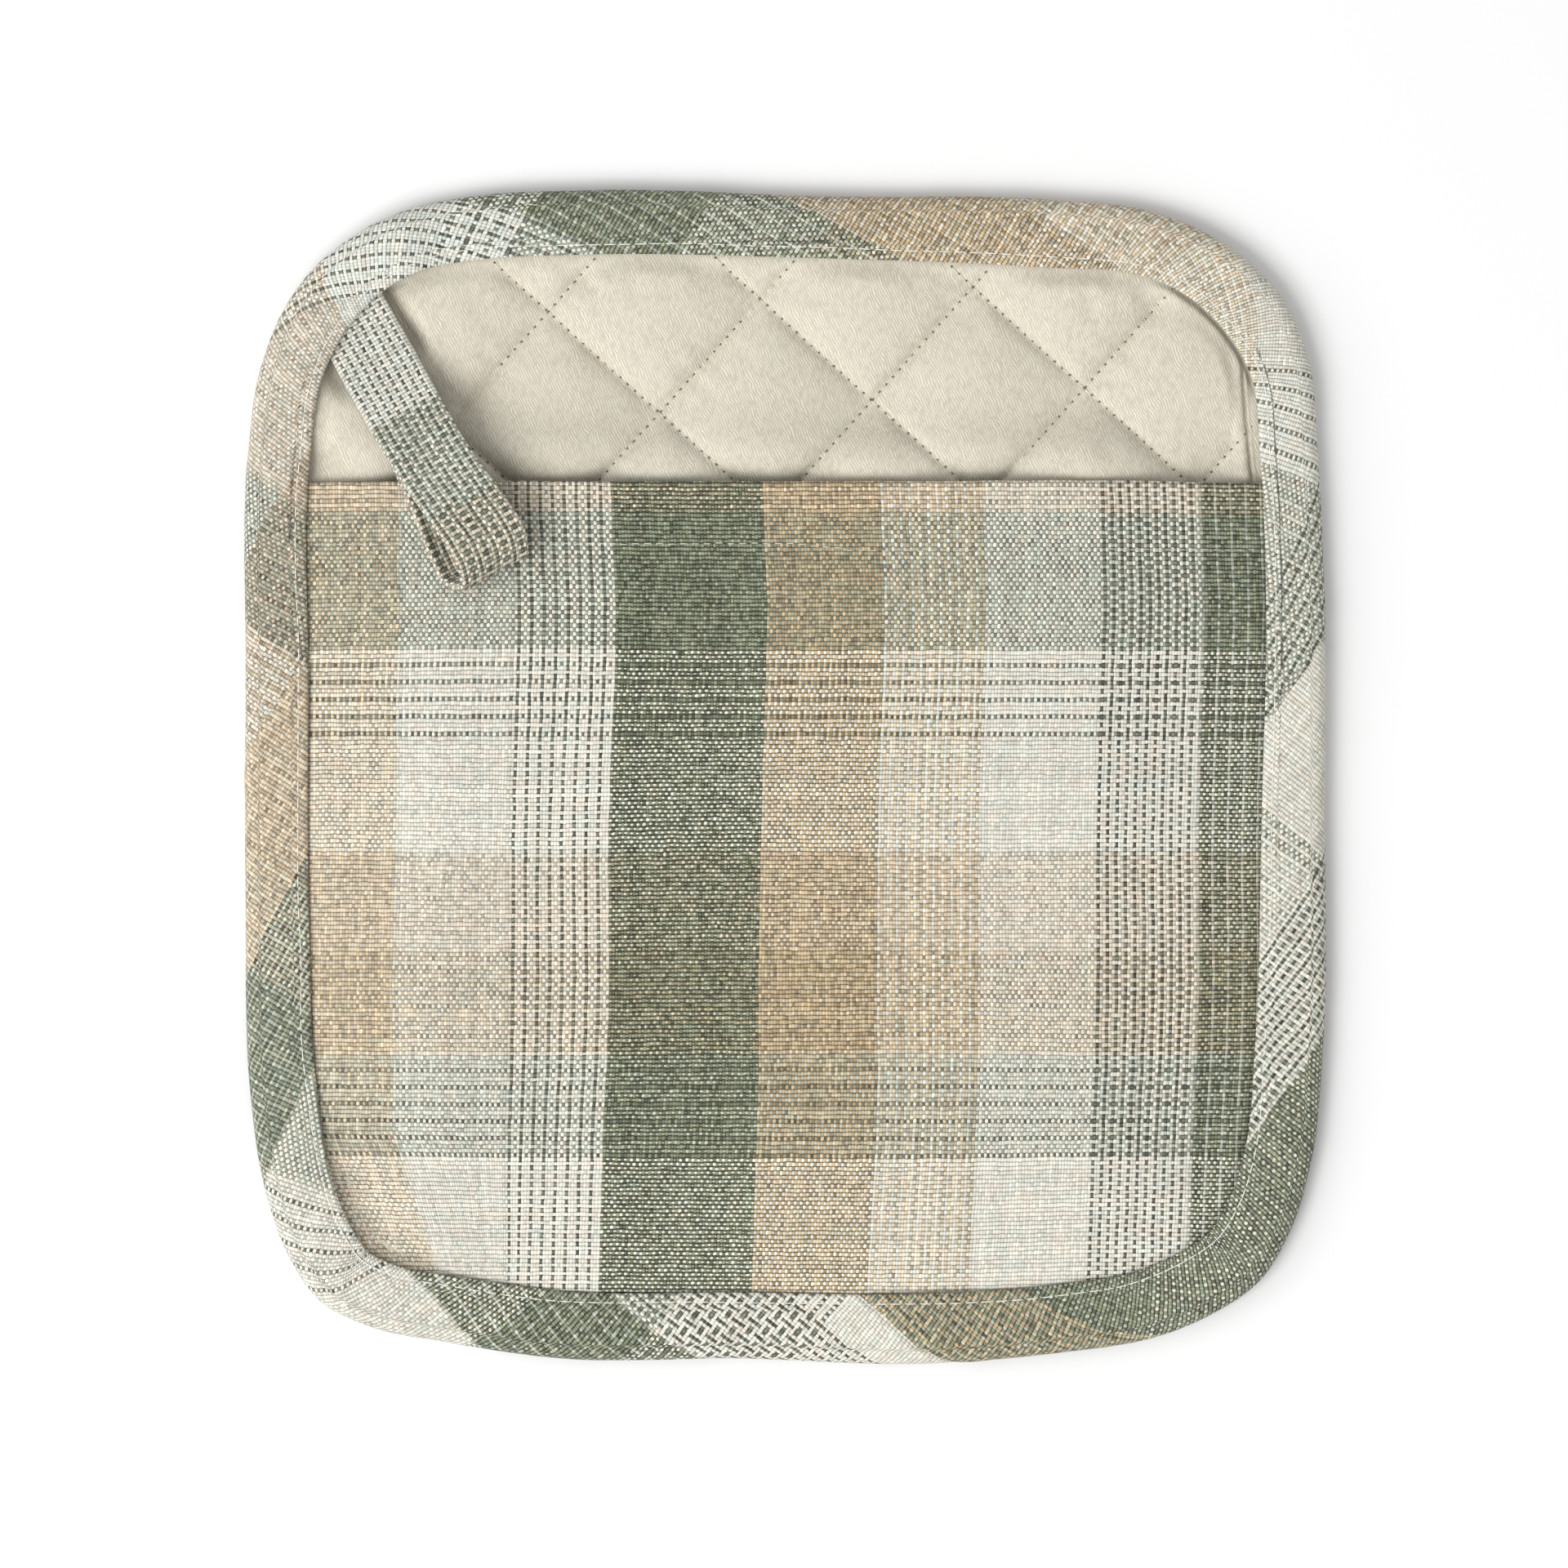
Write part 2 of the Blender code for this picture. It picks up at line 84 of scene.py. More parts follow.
# Soft creases of the bare quilt, from one point to another.
QUILT_CREASES = (
    # x0    y0     x1     y1   depth half width
    (57.5,  96.5,  60.8,  87.0, 0.55, 2.2),     # below the top right part
    (72.0,  95.0,  68.5,  87.0, 0.35, 2.4),     # top right corner
    (-62.0, 97.0, -55.0,  84.0, 0.40, 3.0),     # beside the loop
    (-31.0, 100.0, -27.5, 92.0, 0.30, 2.2),     # left of the middle
    (24.0,  98.5,  27.5,  91.0, 0.30, 2.0),     # right of the middle
    (60.0,  66.0,  66.0,  60.0, 0.35, 2.2),     # low right diamond
)
EDGE_GAPS = ((84.0, 88.0, 18.0), (-76.5, 93.0, 5.0))    # quilt sunk beside the binding
FLAP_CREASE = ((58.0, 91.0), (70.0, 89.6), (80.5, 88.9))    # y and x, at the right
MOUTH_ROLL = (3.8, 61.5, 7.5)     # roll before the mouth: height, place, half width
DIMPLE = 0.10             # depth at each stitch
PUCKER = 0.22             # height of the small ridges beside stitches and binding
FLAP_STEP = 0.6           # the flap beyond its crease lies this much lower
LOW_CORNER = np.array((-0.72, -0.69))    # direction of the bottom left corner
CORNER_DROP = 1.9

LOOP_ROOT = np.array((-83.4, 87.8))
LOOP_ALONG = np.array((0.493, -0.870))
LOOP_ACROSS = np.array((0.870, 0.493))
UNDER_LOOP = 3.2          # height that the quilt is pressed down to under the loop's ends

MOUTH = 57.3            # the pocket's mouth
MOUTH_EASE = (60.0, 68.0)
COVERED = 5.4           # top of what the binding lies on
CLOTH = 1.0
HEM_CLOTH = 1.7
GAP = 0.3


def smooth(value, low, high):
    """Ease from 0 at low to 1 at high along a cubic S."""
    t = np.clip((np.asarray(value, dtype=float) - low) / (high - low), 0.0, 1.0)
    return t * t * (3.0 - 2.0 * t)


def bell(value, half_width):
    """1 at 0, falling to both sides as e to the power of -(value / half width) squared."""
    return np.exp(-(value / half_width) ** 2)


def rounded(distance, radius):
    """Quarter circle: 0 at an edge, 1 from one radius in."""
    return np.sqrt(1.0 - (1.0 - np.clip(distance / radius, 0.0, 1.0)) ** 2)


def unit(rows):
    """Directions scaled to length 1."""
    return rows / np.linalg.norm(rows, axis=-1, keepdims=True)


def travelled(points):
    """Distance along a line of points from its first."""
    steps = np.linalg.norm(np.diff(points, axis=0), axis=1)
    return np.concatenate([[0.0], np.cumsum(steps)])


def nearest(ring, place):
    """Number of the ring's point that lies nearest to a place."""
    return int(np.hypot(*(ring - place).T).argmin())


def curve_through(rows, count, closed=False):
    """Smooth curve through the rows, as `count` even steps along its first two columns.

    Each stretch is a cubic whose slope at a row is that of the parabola through it
    and its two neighbours.
    """
    rows = np.asarray(rows, dtype=float)
    if closed:
        knots = np.vstack([rows[-1:], rows, rows[:2]])
    else:
        knots = np.vstack([2 * rows[:1] - rows[1:2], rows, 2 * rows[-1:] - rows[-2:-1]])
    chord = np.linalg.norm(np.diff(knots[:, :2], axis=0), axis=1)[:, None]
    slope = np.diff(knots, axis=0) / chord
    tangent = (slope[:-1] * chord[1:] + slope[1:] * chord[:-1]) / (chord[:-1] + chord[1:])
    t = np.linspace(0.0, 1.0, 60, endpoint=False)[:, None]
    bends = tangent[:-1, None] * t * (1 - t) ** 2 - tangent[1:, None] * (1 - t) * t ** 2
    spans = (
        knots[1:-2, None] * (1 + 2 * t) * (1 - t) ** 2
        + knots[2:-1, None] * (3 - 2 * t) * t ** 2 + chord[1:-1, None] * bends
    )
    fine = np.vstack([*spans, knots[-2:-1]])
    travel = travelled(fine[:, :2])
    even = np.linspace(0.0, travel[-1], count, endpoint=not closed)
    return np.column_stack([np.interp(even, travel, column) for column in fine.T])


rim = curve_through(EDGE, 1800, closed=True)
RIM, RIM_FACE = rim[:, :2], rim[:, 2]
rim_forward = unit(np.roll(RIM, -1, axis=0) - np.roll(RIM, 1, axis=0))
RIM_INWARD = np.column_stack([-rim_forward[:, 1], rim_forward[:, 0]])


def inside_edge(points):
    """Distance of each point in from the outer edge, and in from the binding."""
    inset, inside = np.empty(len(points)), np.empty(len(points))
    at_once = 4000
    for start in range(0, len(points), at_once):
        part = slice(start, start + at_once)
        apart = np.hypot(points[part, :1] - RIM[:, 0], points[part, 1:] - RIM[:, 1])
        inset[part] = apart.min(axis=1)
        inside[part] = inset[part] - RIM_FACE[apart.argmin(axis=1)]
    return inset, inside


def wander(points, size, seed):
    """Smooth random height from -1 to 1 over a plane, with bumps about `size` across.

    A pair of sizes makes the bumps longer one way. Seeded random values sit on the
    corners of a lattice, and are blended between them with the cubic S both ways.
    """
    values = np.random.default_rng(seed).uniform(-1.0, 1.0, (256, 256))
    place = np.asarray(points, dtype=float) / size + 117.3
    low = np.floor(place).astype(int)
    t = place - low
    t = t * t * (3.0 - 2.0 * t)
    x0, y0 = (low % 256).T
    x1, y1 = ((low + 1) % 256).T
    near = values[x0, y0] * (1 - t[:, 0]) + values[x1, y0] * t[:, 0]
    far = values[x0, y1] * (1 - t[:, 0]) + values[x1, y1] * t[:, 0]
    return near * (1 - t[:, 1]) + far * t[:, 1]


def creases(points, table):
    """Summed depth of a table's soft creases: a bell across, fading in and out along."""
    depth = np.zeros(len(points))
    for x0, y0, x1, y1, deepest, half_width in table:
        length = math.hypot(x1 - x0, y1 - y0)
        run = np.array([x1 - x0, y1 - y0]) / length
        along = (points - (x0, y0)) @ run
        across = (points - (x0, y0)) @ np.array([-run[1], run[0]])
        fade = smooth(along, 0.0, 0.35 * length) * (1.0 - smooth(along, 0.5 * length, length))
        depth += deepest * fade * bell(across, half_width)
    return depth


def sewn_lines(points):
    """For each sewn set: distance to its nearest line, place along it, and its number."""
    found = []
    for across, first, spacing in QUILTING:
        turn = (points @ np.array(across) - first) / spacing
        apart = np.abs(turn - np.round(turn)) * spacing
        found.append((apart, points @ np.array([-across[1], across[0]]), turn))
    return found


def puff(points):
    """Fullness of the quilting: 0 on a sewn line, 1 in the middle of a diamond.

    The product of both sets' rounded sines, raised to 0.42.
    """
    full, soft = np.ones(len(points)), 0.06
    for _, _, turn in sewn_lines(points):
        full *= (np.sqrt(np.sin(math.pi * turn) ** 2 + soft ** 2) - soft) / (1.0 - soft)
    return full ** 0.42


def pad_edge(y):
    """Top of the body under the binding: lower where the pocket lies on it."""
    under_pocket = COVERED - CLOTH - GAP
    under_hem = COVERED - HEM_CLOTH - GAP - 0.1
    bare = COVERED - 0.1
    top = under_pocket + (under_hem - under_pocket) * smooth(y, 30.0, 38.0)
    return top + (bare - under_hem) * smooth(y, *MOUTH_EASE)


def pad_top(points):
    """Upper face of the quilted body, in millimetres.

    Puffs between the sewn lines, each of its own fullness, dimples at the stitches,
    small puckers across the lines, long soft waves, and the creases of the table. A
    roll stands up before the mouth. The edge rises to the binding, with a creased flap
    at the right, and the body is pressed down under the loop's ends.
    """
    inset, inside = inside_edge(points)
    x, y = points.T
    lines = sewn_lines(points)
    cell = np.floor(np.column_stack([turn for _, _, turn in lines]))
    own = PUFF_VARIETY * np.sin(cell @ (12.9, 78.2))
    full = QUILT_CROWN - QUILT_CHANNEL + BARE_RISE * smooth(y, MOUTH - 6.0, MOUTH + 2.0)
    top = QUILT_CHANNEL + full * puff(points) * (1.0 + own)
    top -= CORNER_DROP * smooth(points @ LOW_CORNER, 98.0, 110.0)
    for seed, (apart, along, _) in enumerate(lines):
        top -= DIMPLE * np.cos(2 * math.pi * along / STITCH) * bell(apart, 0.8)
        pucker = wander(np.column_stack([along, apart]), (2.6, 9.0), 20 + seed)
        top += PUCKER * pucker * bell(apart - 2.6, 3.0)
    top += 0.13 * wander(points, 9.0, 31) + 0.06 * wander(points, 3.5, 32)
    height, place, half_width = MOUTH_ROLL
    top += height * bell(y - place, half_width) * smooth(inside, 8.0, 36.0)
    top -= creases(points, QUILT_CREASES)
    strip = 3.2 * smooth(x, 84.0, 89.0) * (1.0 - smooth(y, 78.0, 84.0))
    bare = smooth(inside - strip, 0.3, 4.5)
    covered = smooth(inside, 0.5, 14.0)
    rise = covered + (bare - covered) * smooth(y, *MOUTH_EASE)
    top = pad_edge(y) + (top - pad_edge(y)) * rise
    beside = x - np.interp(y, *np.array(FLAP_CREASE).T)
    reach = smooth(y, 56.0, 59.0) * (1.0 - smooth(y, 77.0, 82.0))
    top -= reach * (0.9 * bell(beside, 0.38) + FLAP_STEP * smooth(beside, 0.0, 1.0))
    top += 0.5 * reach * bell(beside + 1.6, 1.3)
    for x0, y0, radius in EDGE_GAPS:
        near = 1.0 - smooth(np.hypot(x - x0, y - y0), 0.5 * radius, radius)
        top -= 1.1 * near * bell(np.maximum(inside, 0.0), 0.7)
    gather = wander(points, (3.2, 12.0), 33) * smooth(y, 60.0, 66.0)
    top += PUCKER * gather * bell(inside - 2.0, 3.5)
    along, across = (points - LOOP_ROOT) @ LOOP_ALONG, (points - LOOP_ROOT) @ LOOP_ACROSS
    pressed = (1.0 - smooth(along, 6.0, 14.0)) * (1.0 - smooth(np.abs(across), 8.0, 12.0))
    top += (np.minimum(top, UNDER_LOOP) - top) * pressed
    return top - 1.0 * (1.0 - smooth(inset, *PAD_ROUND))


def pad_bottom(points):
    """Lower face: flat on the floor, with shallow sewn lines, raised inside the binding."""
    inset, inside = inside_edge(points)
    groove = np.maximum(0.0, BACK_CHANNEL * (1.0 - 3.0 * puff(points)))
    bottom = groove + (BACK_RISE - groove) * (1.0 - smooth(inside, -1.2, 0.8))
    return bottom + 0.8 * (1.0 - smooth(inset, *PAD_ROUND))


def side_between(ring, first, last):
    """The stretch of a closed ring from near one point to near another."""
    start, stop = nearest(ring, first), nearest(ring, last)
    return ring[(start + np.arange((stop - start) % len(ring) + 1)) % len(ring)]


def filled(low, right, high, left, across, along):
    """Grid of points inside four sides, by the bilinear blend of opposite sides.

    low and high run from left to right, left and right from low to high. across and
    along are the fractions at which the grid's columns and rows lie.
    """
    def at(side, fractions):
        travel = travelled(side)
        return np.column_stack([
            np.interp(fractions * travel[-1], travel, side[:, k]) for k in (0, 1)
        ])

    u, v = across[None, :, None], along[:, None, None]
    rows = (1 - v) * at(low, across)[None] + v * at(high, across)[None]
    columns = (1 - u) * at(left, along)[:, None] + u * at(right, along)[:, None]
    low_corners = (1 - u) * low[0] + u * low[-1]
    high_corners = (1 - u) * high[0] + u * high[-1]
    return rows + columns - (1 - v) * low_corners - v * high_corners


def numbers(shape, *closed):
    """Point numbers of a grid; along a closed axis the first ones come again at the end."""
    index = np.arange(math.prod(shape)).reshape(shape)
    for axis in closed:
        index = np.concatenate([index, index.take([0], axis)], axis)
    return index


def quads(index):
    """Four-sided faces between the neighbours in a grid of point numbers."""
    low, high = index[..., :-1, :], index[..., 1:, :]
    return np.stack([low[..., :-1], low[..., 1:], high[..., 1:], high[..., :-1]], axis=-1)


def make_object(name, points, groups, cloth=None):
    """Smooth mesh object from points and groups of faces with equal numbers of sides.

    points are in millimetres. cloth gives the place in the flat cloth of each point,
    or of each face's corner.
    """
    mesh = bpy.data.meshes.new(name)
    corners = np.concatenate([group.ravel() for group in groups])
    sides = np.repeat([group.shape[-1] for group in groups],
                      [group.size // group.shape[-1] for group in groups])
    mesh.vertices.add(points.size // 3)
    mesh.vertices.foreach_set("co", (points * MM).astype(np.float32).ravel())
    mesh.loops.add(len(corners))
    mesh.loops.foreach_set("vertex_index", corners.astype(np.int32))
    mesh.polygons.add(len(sides))
    mesh.polygons.foreach_set("loop_start", (np.cumsum(sides) - sides).astype(np.int32))
    mesh.update(calc_edges=True)
    if cloth is not None:
        places = cloth.reshape(-1, 2)
        if len(places) != len(corners):
            places = places[corners]
        layer = mesh.uv_layers.new(name="cloth")
        layer.uv.foreach_set("vector", places.astype(np.float32).ravel())
    mesh.validate()
    mesh.shade_smooth()
    thing = bpy.data.objects.new(name, mesh)
    bpy.context.scene.collection.objects.link(thing)
    return thing


def closed_sheet(name, plan, top, bottom, step, cloth=None):
    """Closed body over a grid in plan: fine upper face, lower face `step` times coarser.

    top and bottom give the two faces' heights, and the rims are joined by a wall.
    """
    coarse = plan[::step, ::step]
    flat, under = plan.reshape(-1, 2), coarse.reshape(-1, 2)
    points = np.vstack([
        np.column_stack([flat, top(flat)]),
        np.column_stack([under, bottom(under)]),
    ])
    upper = numbers(plan.shape[:2])
    lower = numbers(coarse.shape[:2]) + upper.size

    def round_it(index):
        return np.concatenate([
            index[0, :-1], index[:-1, -1], index[-1, :0:-1], index[:0:-1, 0]
        ])

    high, low = round_it(upper), round_it(lower)
    wall = [low, np.roll(low, -1)]
    for k in range(step, -1, -1):
        wall.append(high[(np.arange(len(low)) * step + k) % len(high)])
    groups = [quads(upper), quads(lower)[..., ::-1], np.column_stack(wall)]
    if cloth is not None:
        cloth = np.vstack([cloth(flat), cloth(under)])
    return make_object(name, points, groups, cloth)


class Signal:
    """A number, vector or colour on a node's output, with arithmetic on numbers."""

    def __init__(self, tree, socket):
        self.tree, self.socket = tree, socket

    def node(self, kind, settings, inputs, output=0):
        """Another node in the same tree: its settings first, then its inputs."""
        made = self.tree.nodes.new(kind)
        for name, setting in settings.items():
            setattr(made, name, setting)
        for key, value in inputs.items():
            if isinstance(value, Signal):
                self.tree.links.new(value.socket, made.inputs[key])
            else:
                made.inputs[key].default_value = value
        return Signal(self.tree, made.outputs[output])

    def math(self, operation, *values):
        return self.node("ShaderNodeMath", {"operation": operation}, dict(enumerate(values)))

    __add__ = __radd__ = lambda self, other: self.math("ADD", self, other)
    __sub__ = lambda self, other: self.math("SUBTRACT", self, other)
    __rsub__ = lambda self, other: self.math("SUBTRACT", other, self)
    __mul__ = __rmul__ = lambda self, other: self.math("MULTIPLY", self, other)
    __truediv__ = lambda self, other: self.math("DIVIDE", self, other)
    __gt__ = lambda self, other: self.math("GREATER_THAN", self, other)
    __lt__ = lambda self, other: self.math("LESS_THAN", self, other)
    floor = lambda self: self.math("FLOOR", self)
    wave = lambda self: self.math("COSINE", self)
    root = lambda self: self.math("SQRT", self.math("MAXIMUM", self, 0.0))

    def vector(self, operation, other):
        """Vector Math on this vector and another, or for SCALE on a number."""
        second = "Scale" if operation == "SCALE" else 1
        return self.node(
            "ShaderNodeVectorMath", {"operation": operation}, {0: self, second: other}
        )

    def parts(self):
        """The first two numbers of this vector."""
        first = self.node("ShaderNodeSeparateXYZ", {}, {0: self})
        return first, Signal(self.tree, first.socket.node.outputs[1])

    def ease(self, low, high, to_low=0.0, to_high=1.0):
        """This number mapped from low..high to to_low..to_high, and kept within them."""
        return self.node(
            "ShaderNodeMapRange", {"clamp": True},
            {0: self, 1: low, 2: high, 3: to_low, 4: to_high},
        )

    def noise(self, scale, detail=2.0, stretch=(1.0, 1.0, 1.0)):
        """Noise over this vector, from 0 to 1."""
        place = self.vector("MULTIPLY", stretch)
        return self.node(
            "ShaderNodeTexNoise", {}, {"Vector": place, "Scale": scale, "Detail": detail}
        )

    def blend(self, low, high):
        """Colour mixed from low to high by this number."""
        colours = [c if isinstance(c, Signal) else (*c, 1.0) for c in (low, high)]
        return self.node(
            "ShaderNodeMix", {"data_type": "RGBA"}, {0: self, 6: colours[0], 7: colours[1]},
            output=2,
        )


def new_material(name, roughness, sheen=0.0, specular=0.3):
    """A material, its shader, and the place on the piece as a signal in its tree."""
    material = bpy.data.materials.new(name)
    material.use_nodes = True
    tree = material.node_tree
    shader = tree.nodes["Principled BSDF"]
    shader.inputs["Roughness"].default_value = roughness
    shader.inputs["Specular IOR Level"].default_value = specular
    shader.inputs["Sheen Weight"].default_value = sheen
    shader.inputs["Sheen Roughness"].default_value = 0.5
    return material, shader, Signal(tree, tree.nodes.new("ShaderNodeTexCoord").outputs["Object"])


def finish_material(shader, colour, height, depth):
    """Join the colour, and a bump of the given depth in millimetres, to the shader."""
    bump = colour.node(
        "ShaderNodeBump", {}, {"Height": height, "Distance": depth * MM, "Strength": 1.0}
    )
    colour.tree.links.new(colour.socket, shader.inputs["Base Color"])
    colour.tree.links.new(bump.socket, shader.inputs["Normal"])


def satin():
    """Cream cotton satin: fine steep diagonal ribs, slightly uneven in tone."""
    material, shader, place = new_material("cream_satin", 0.62, sheen=0.15)
    millimetres = place.vector("SCALE", 1.0 / MM)
    x, y = millimetres.parts()
    drift = millimetres.noise(0.35)
    rib_pitch = 0.52
    ribs = ((x * 0.90 + y * 0.43 + drift * 1.2) * (2 * math.pi / rib_pitch)).wave() * 0.5 + 0.5
    broken = millimetres.noise(1.3, 2.0, (1.0, 0.5, 1.0))
    ribs = ribs * broken.ease(0.28, 0.58, 0.15, 1.0)
    speck = millimetres.noise(4.5, 2.0)
    cloud = millimetres.noise(0.12, 2.0)
    colour = (ribs * 0.6 + speck * 0.4).blend((0.37, 0.338, 0.266), (0.765, 0.715, 0.60))
    colour = cloud.ease(0.35, 0.7, 0.0, 0.22).blend(colour, (0.55, 0.525, 0.43))
    finish_material(shader, colour, ribs * 0.7 + speck * 0.5, 0.05)
    return material


def thread(name, low, high):
    """Twisted sewing thread, uneven between two tones."""
    material, shader, place = new_material(name, 0.7, sheen=0.1)
    tone = place.vector("SCALE", 1.0 / MM).noise(3.0, 3.0)
    finish_material(shader, tone.ease(0.3, 0.7).blend(low, high), tone, 0.04)
    return material


def graded(*stretches):
    """Fractions in even steps over each stretch (from, to, steps), with the last end."""
    parts = [np.linspace(low, high, steps, endpoint=False) for low, high, steps in stretches]
    return np.append(np.concatenate(parts), stretches[-1][1])


# The grid is finer where it shows: above the mouth, and at the flap on the right.
pad_ring = RIM + RIM_INWARD * PAD_ROUND[0]
pad_corners = [(-88.0, -98.0), (90.0, -95.0), (88.0, 97.0), (-87.0, 97.5)]
pad_low, pad_right, pad_high, pad_left = (
    side_between(pad_ring, first, last)
    for first, last in zip(pad_corners, pad_corners[1:] + pad_corners[:1])
)
pad_plan = filled(
    pad_low, pad_right, pad_high[::-1], pad_left[::-1],
    graded((0.0, 0.90, 321), (0.90, 0.955, 56), (0.955, 1.0, 19)),
    graded((0.0, 0.73, 84), (0.73, 1.0, 112)),
)
pad = closed_sheet("quilted_body", pad_plan, pad_top, pad_bottom, 2)
pad.data.materials.append(satin())
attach(pad, "root")
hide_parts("pad")


def stitches(name, middles, along, up, length, radius, sink):
    """Joined mesh of short threads, each a round tube whose ends dip into the cloth.

    The tube's centre falls from its middle to its ends along half an ellipse, and its
    radius closes at the ends along another.
    """
    steps = np.array([-1.0, -0.93, -0.7, -0.3, 0.3, 0.7, 0.93, 1.0])
    turn = np.linspace(0.0, 2 * math.pi, 6, endpoint=False)[:, None]
    dip = sink * (np.sqrt(1.0 - steps ** 2) - 1.0)
    close = radius * np.sqrt(np.maximum(1.0 - steps ** 6, 0.02))
    middles, along, up = middles[:, None], along[:, None], up[:, None]
    centre = middles + along * (0.5 * length * steps)[:, None] + up * dip[:, None]
    round_it = np.cross(along, up) * np.cos(turn) + up * np.sin(turn)
    points = centre[:, :, None] + round_it[:, None] * close[:, None, None]
    grid = numbers(points.shape[:3], 2)
    return make_object(name, points, [quads(grid), grid[:, 0, -2::-1], grid[:, -1, :-1]])


def lie_on(surface, flat, lengthwise, reach):
    """Middles, directions and upward directions of stitches lying on a surface.

    The slope is taken over `reach` to both sides.
    """
    slope = surface(flat + lengthwise * reach) - surface(flat - lengthwise * reach)
    along = unit(np.column_stack([lengthwise, slope / (2.0 * reach)]))
    side = np.column_stack([-lengthwise[:, 1], lengthwise[:, 0], np.zeros(len(flat))])
    return np.column_stack([flat, surface(flat)]), along, np.cross(along, side)


def sewn_through(patchy):
    """The bare quilt's stitches on both sewn sets; patchy leaves gaps in the second."""
    flat, lengthwise = [], []
    for (across, first, spacing), broken in zip(QUILTING, (False, patchy)):
        across = unit(np.array(across))
        forward = np.array([-across[1], across[0]])
        lines = first + np.arange(-8, 12) * spacing
        run = (np.arange(-70, 70) + 0.5) * STITCH
        places = (lines[:, None, None] * across + run[:, None] * forward).reshape(-1, 2)
        places = places[
            np.all(np.abs(places) < (98.0, 108.0), axis=1) & (places[:, 1] > MOUTH - 1.0)
        ]
        places = places[inside_edge(places)[1] > 0.6]
        if broken:
            places = places[wander(places, 16.0, 71) > -0.45]
        flat.append(places)
        lengthwise.append(np.tile(forward, (len(places), 1)))
    return lie_on(pad_top, np.vstack(flat), np.vstack(lengthwise), 0.6)


middles, along, up = sewn_through(patchy=False)
quilting = stitches("quilting_thread", middles + up * 0.12, along, up, 1.5, 0.11, 0.18)
quilting.data.materials.append(thread("cream_thread", (0.55, 0.50, 0.39), (0.74, 0.69, 0.57)))

# The dark lower thread shows as a dot at each needle hole.
middles, along, up = sewn_through(patchy=True)
holes = middles + along * (0.5 * STITCH) + up * 0.20
needle_holes = stitches("lower_thread_dots", holes, along, up, 0.46, 0.17, 0.06)
needle_holes.data.materials.append(
    thread("taupe_thread", (0.10, 0.08, 0.06), (0.20, 0.17, 0.13))
)
for piece in (quilting, needle_holes):
    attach(piece, "root")


# -------------------------------------------------------------- hand pocket
# One layer of plaid linen and cotton in plain weave over the lower three quarters,
# held in the binding on three sides, its mouth hemmed 12.7 mm deep.

HEM = 12.7
HEM_STITCH = 2.3
POCKET_INSET = 4.2        # its cut edge, under the binding
POCKET_RISE = 6.3         # height of the crown over the binding's seat
MOUTH_RISE = 6.9
POCKET_RAMP = 42.0        # the crown is reached this far in from the binding
POCKET_LIP = 0.8          # quick rise beside the binding
FOOT_LIP = 0.6            # and this much more at the foot
CORNER_SUNK = 1.4         # depth of the bottom left corner
HEM_RIDGE = 0.16
HEM_DENT = 0.14           # depth of the row of stitches
FOLD_ROUND = 0.85         # radius of the mouth's fold in plan
GUTTER = (-88.0, -88.0)   # where it stays down beside the binding
HEM_LINE = (
    (-95.0, 45.2), (2.0, 45.2), (14.0, 43.8), (48.0, 43.8), (60.0, 44.1), (95.0, 44.1),
)

POCKET_FOLDS = (
    # x0     y0      x1     y1    depth half width
    (-84.0, -84.0,  -70.0, -62.0,  0.7, 5.0),     # bottom left
    (83.0,  -86.0,   74.0, -58.0,  0.6, 5.0),     # bottom right
    (62.0,  -94.0,   58.0, -74.0,  0.4, 4.5),     # right of the foot
    (-90.0, -62.0,  -60.0, -97.0, -0.9, 3.4),     # raised, bottom left
)

# How far the woven stripes have drifted sideways at each height.
STRIPE_DRIFT = (
    (-99.0, 2.2), (-57.0, 0.6), (-17.0, 0.3), (8.0, -0.2), (34.0, -1.0), (57.0, -0.3),
)

WARP_PITCH = 0.587
WEFT_PITCH = 0.833

YARNS = {
    "white": (0.605, 0.592, 0.540),
    # Partly painted shade: on the pocket's left side this darker white stands for white yarn lying
    # in less light. On the binding and the loop it is the yarn's own colour.
    "off white": (0.548, 0.534, 0.484),
    "cool white": (0.600, 0.608, 0.568),
    "soft grey": (0.510, 0.500, 0.455),
    "tan": (0.400, 0.320, 0.200),
    "pale tan": (0.502, 0.430, 0.312),
    "green": (0.172, 0.188, 0.124),
    "dark": (0.140, 0.150, 0.122),
    "grey green": (0.250, 0.272, 0.220),
    "rose tan": (0.490, 0.432, 0.352),
    "deep tan": (0.380, 0.310, 0.232),
    "grey tan": (0.400, 0.335, 0.235),
    "mid grey": (0.380, 0.395, 0.340),
}

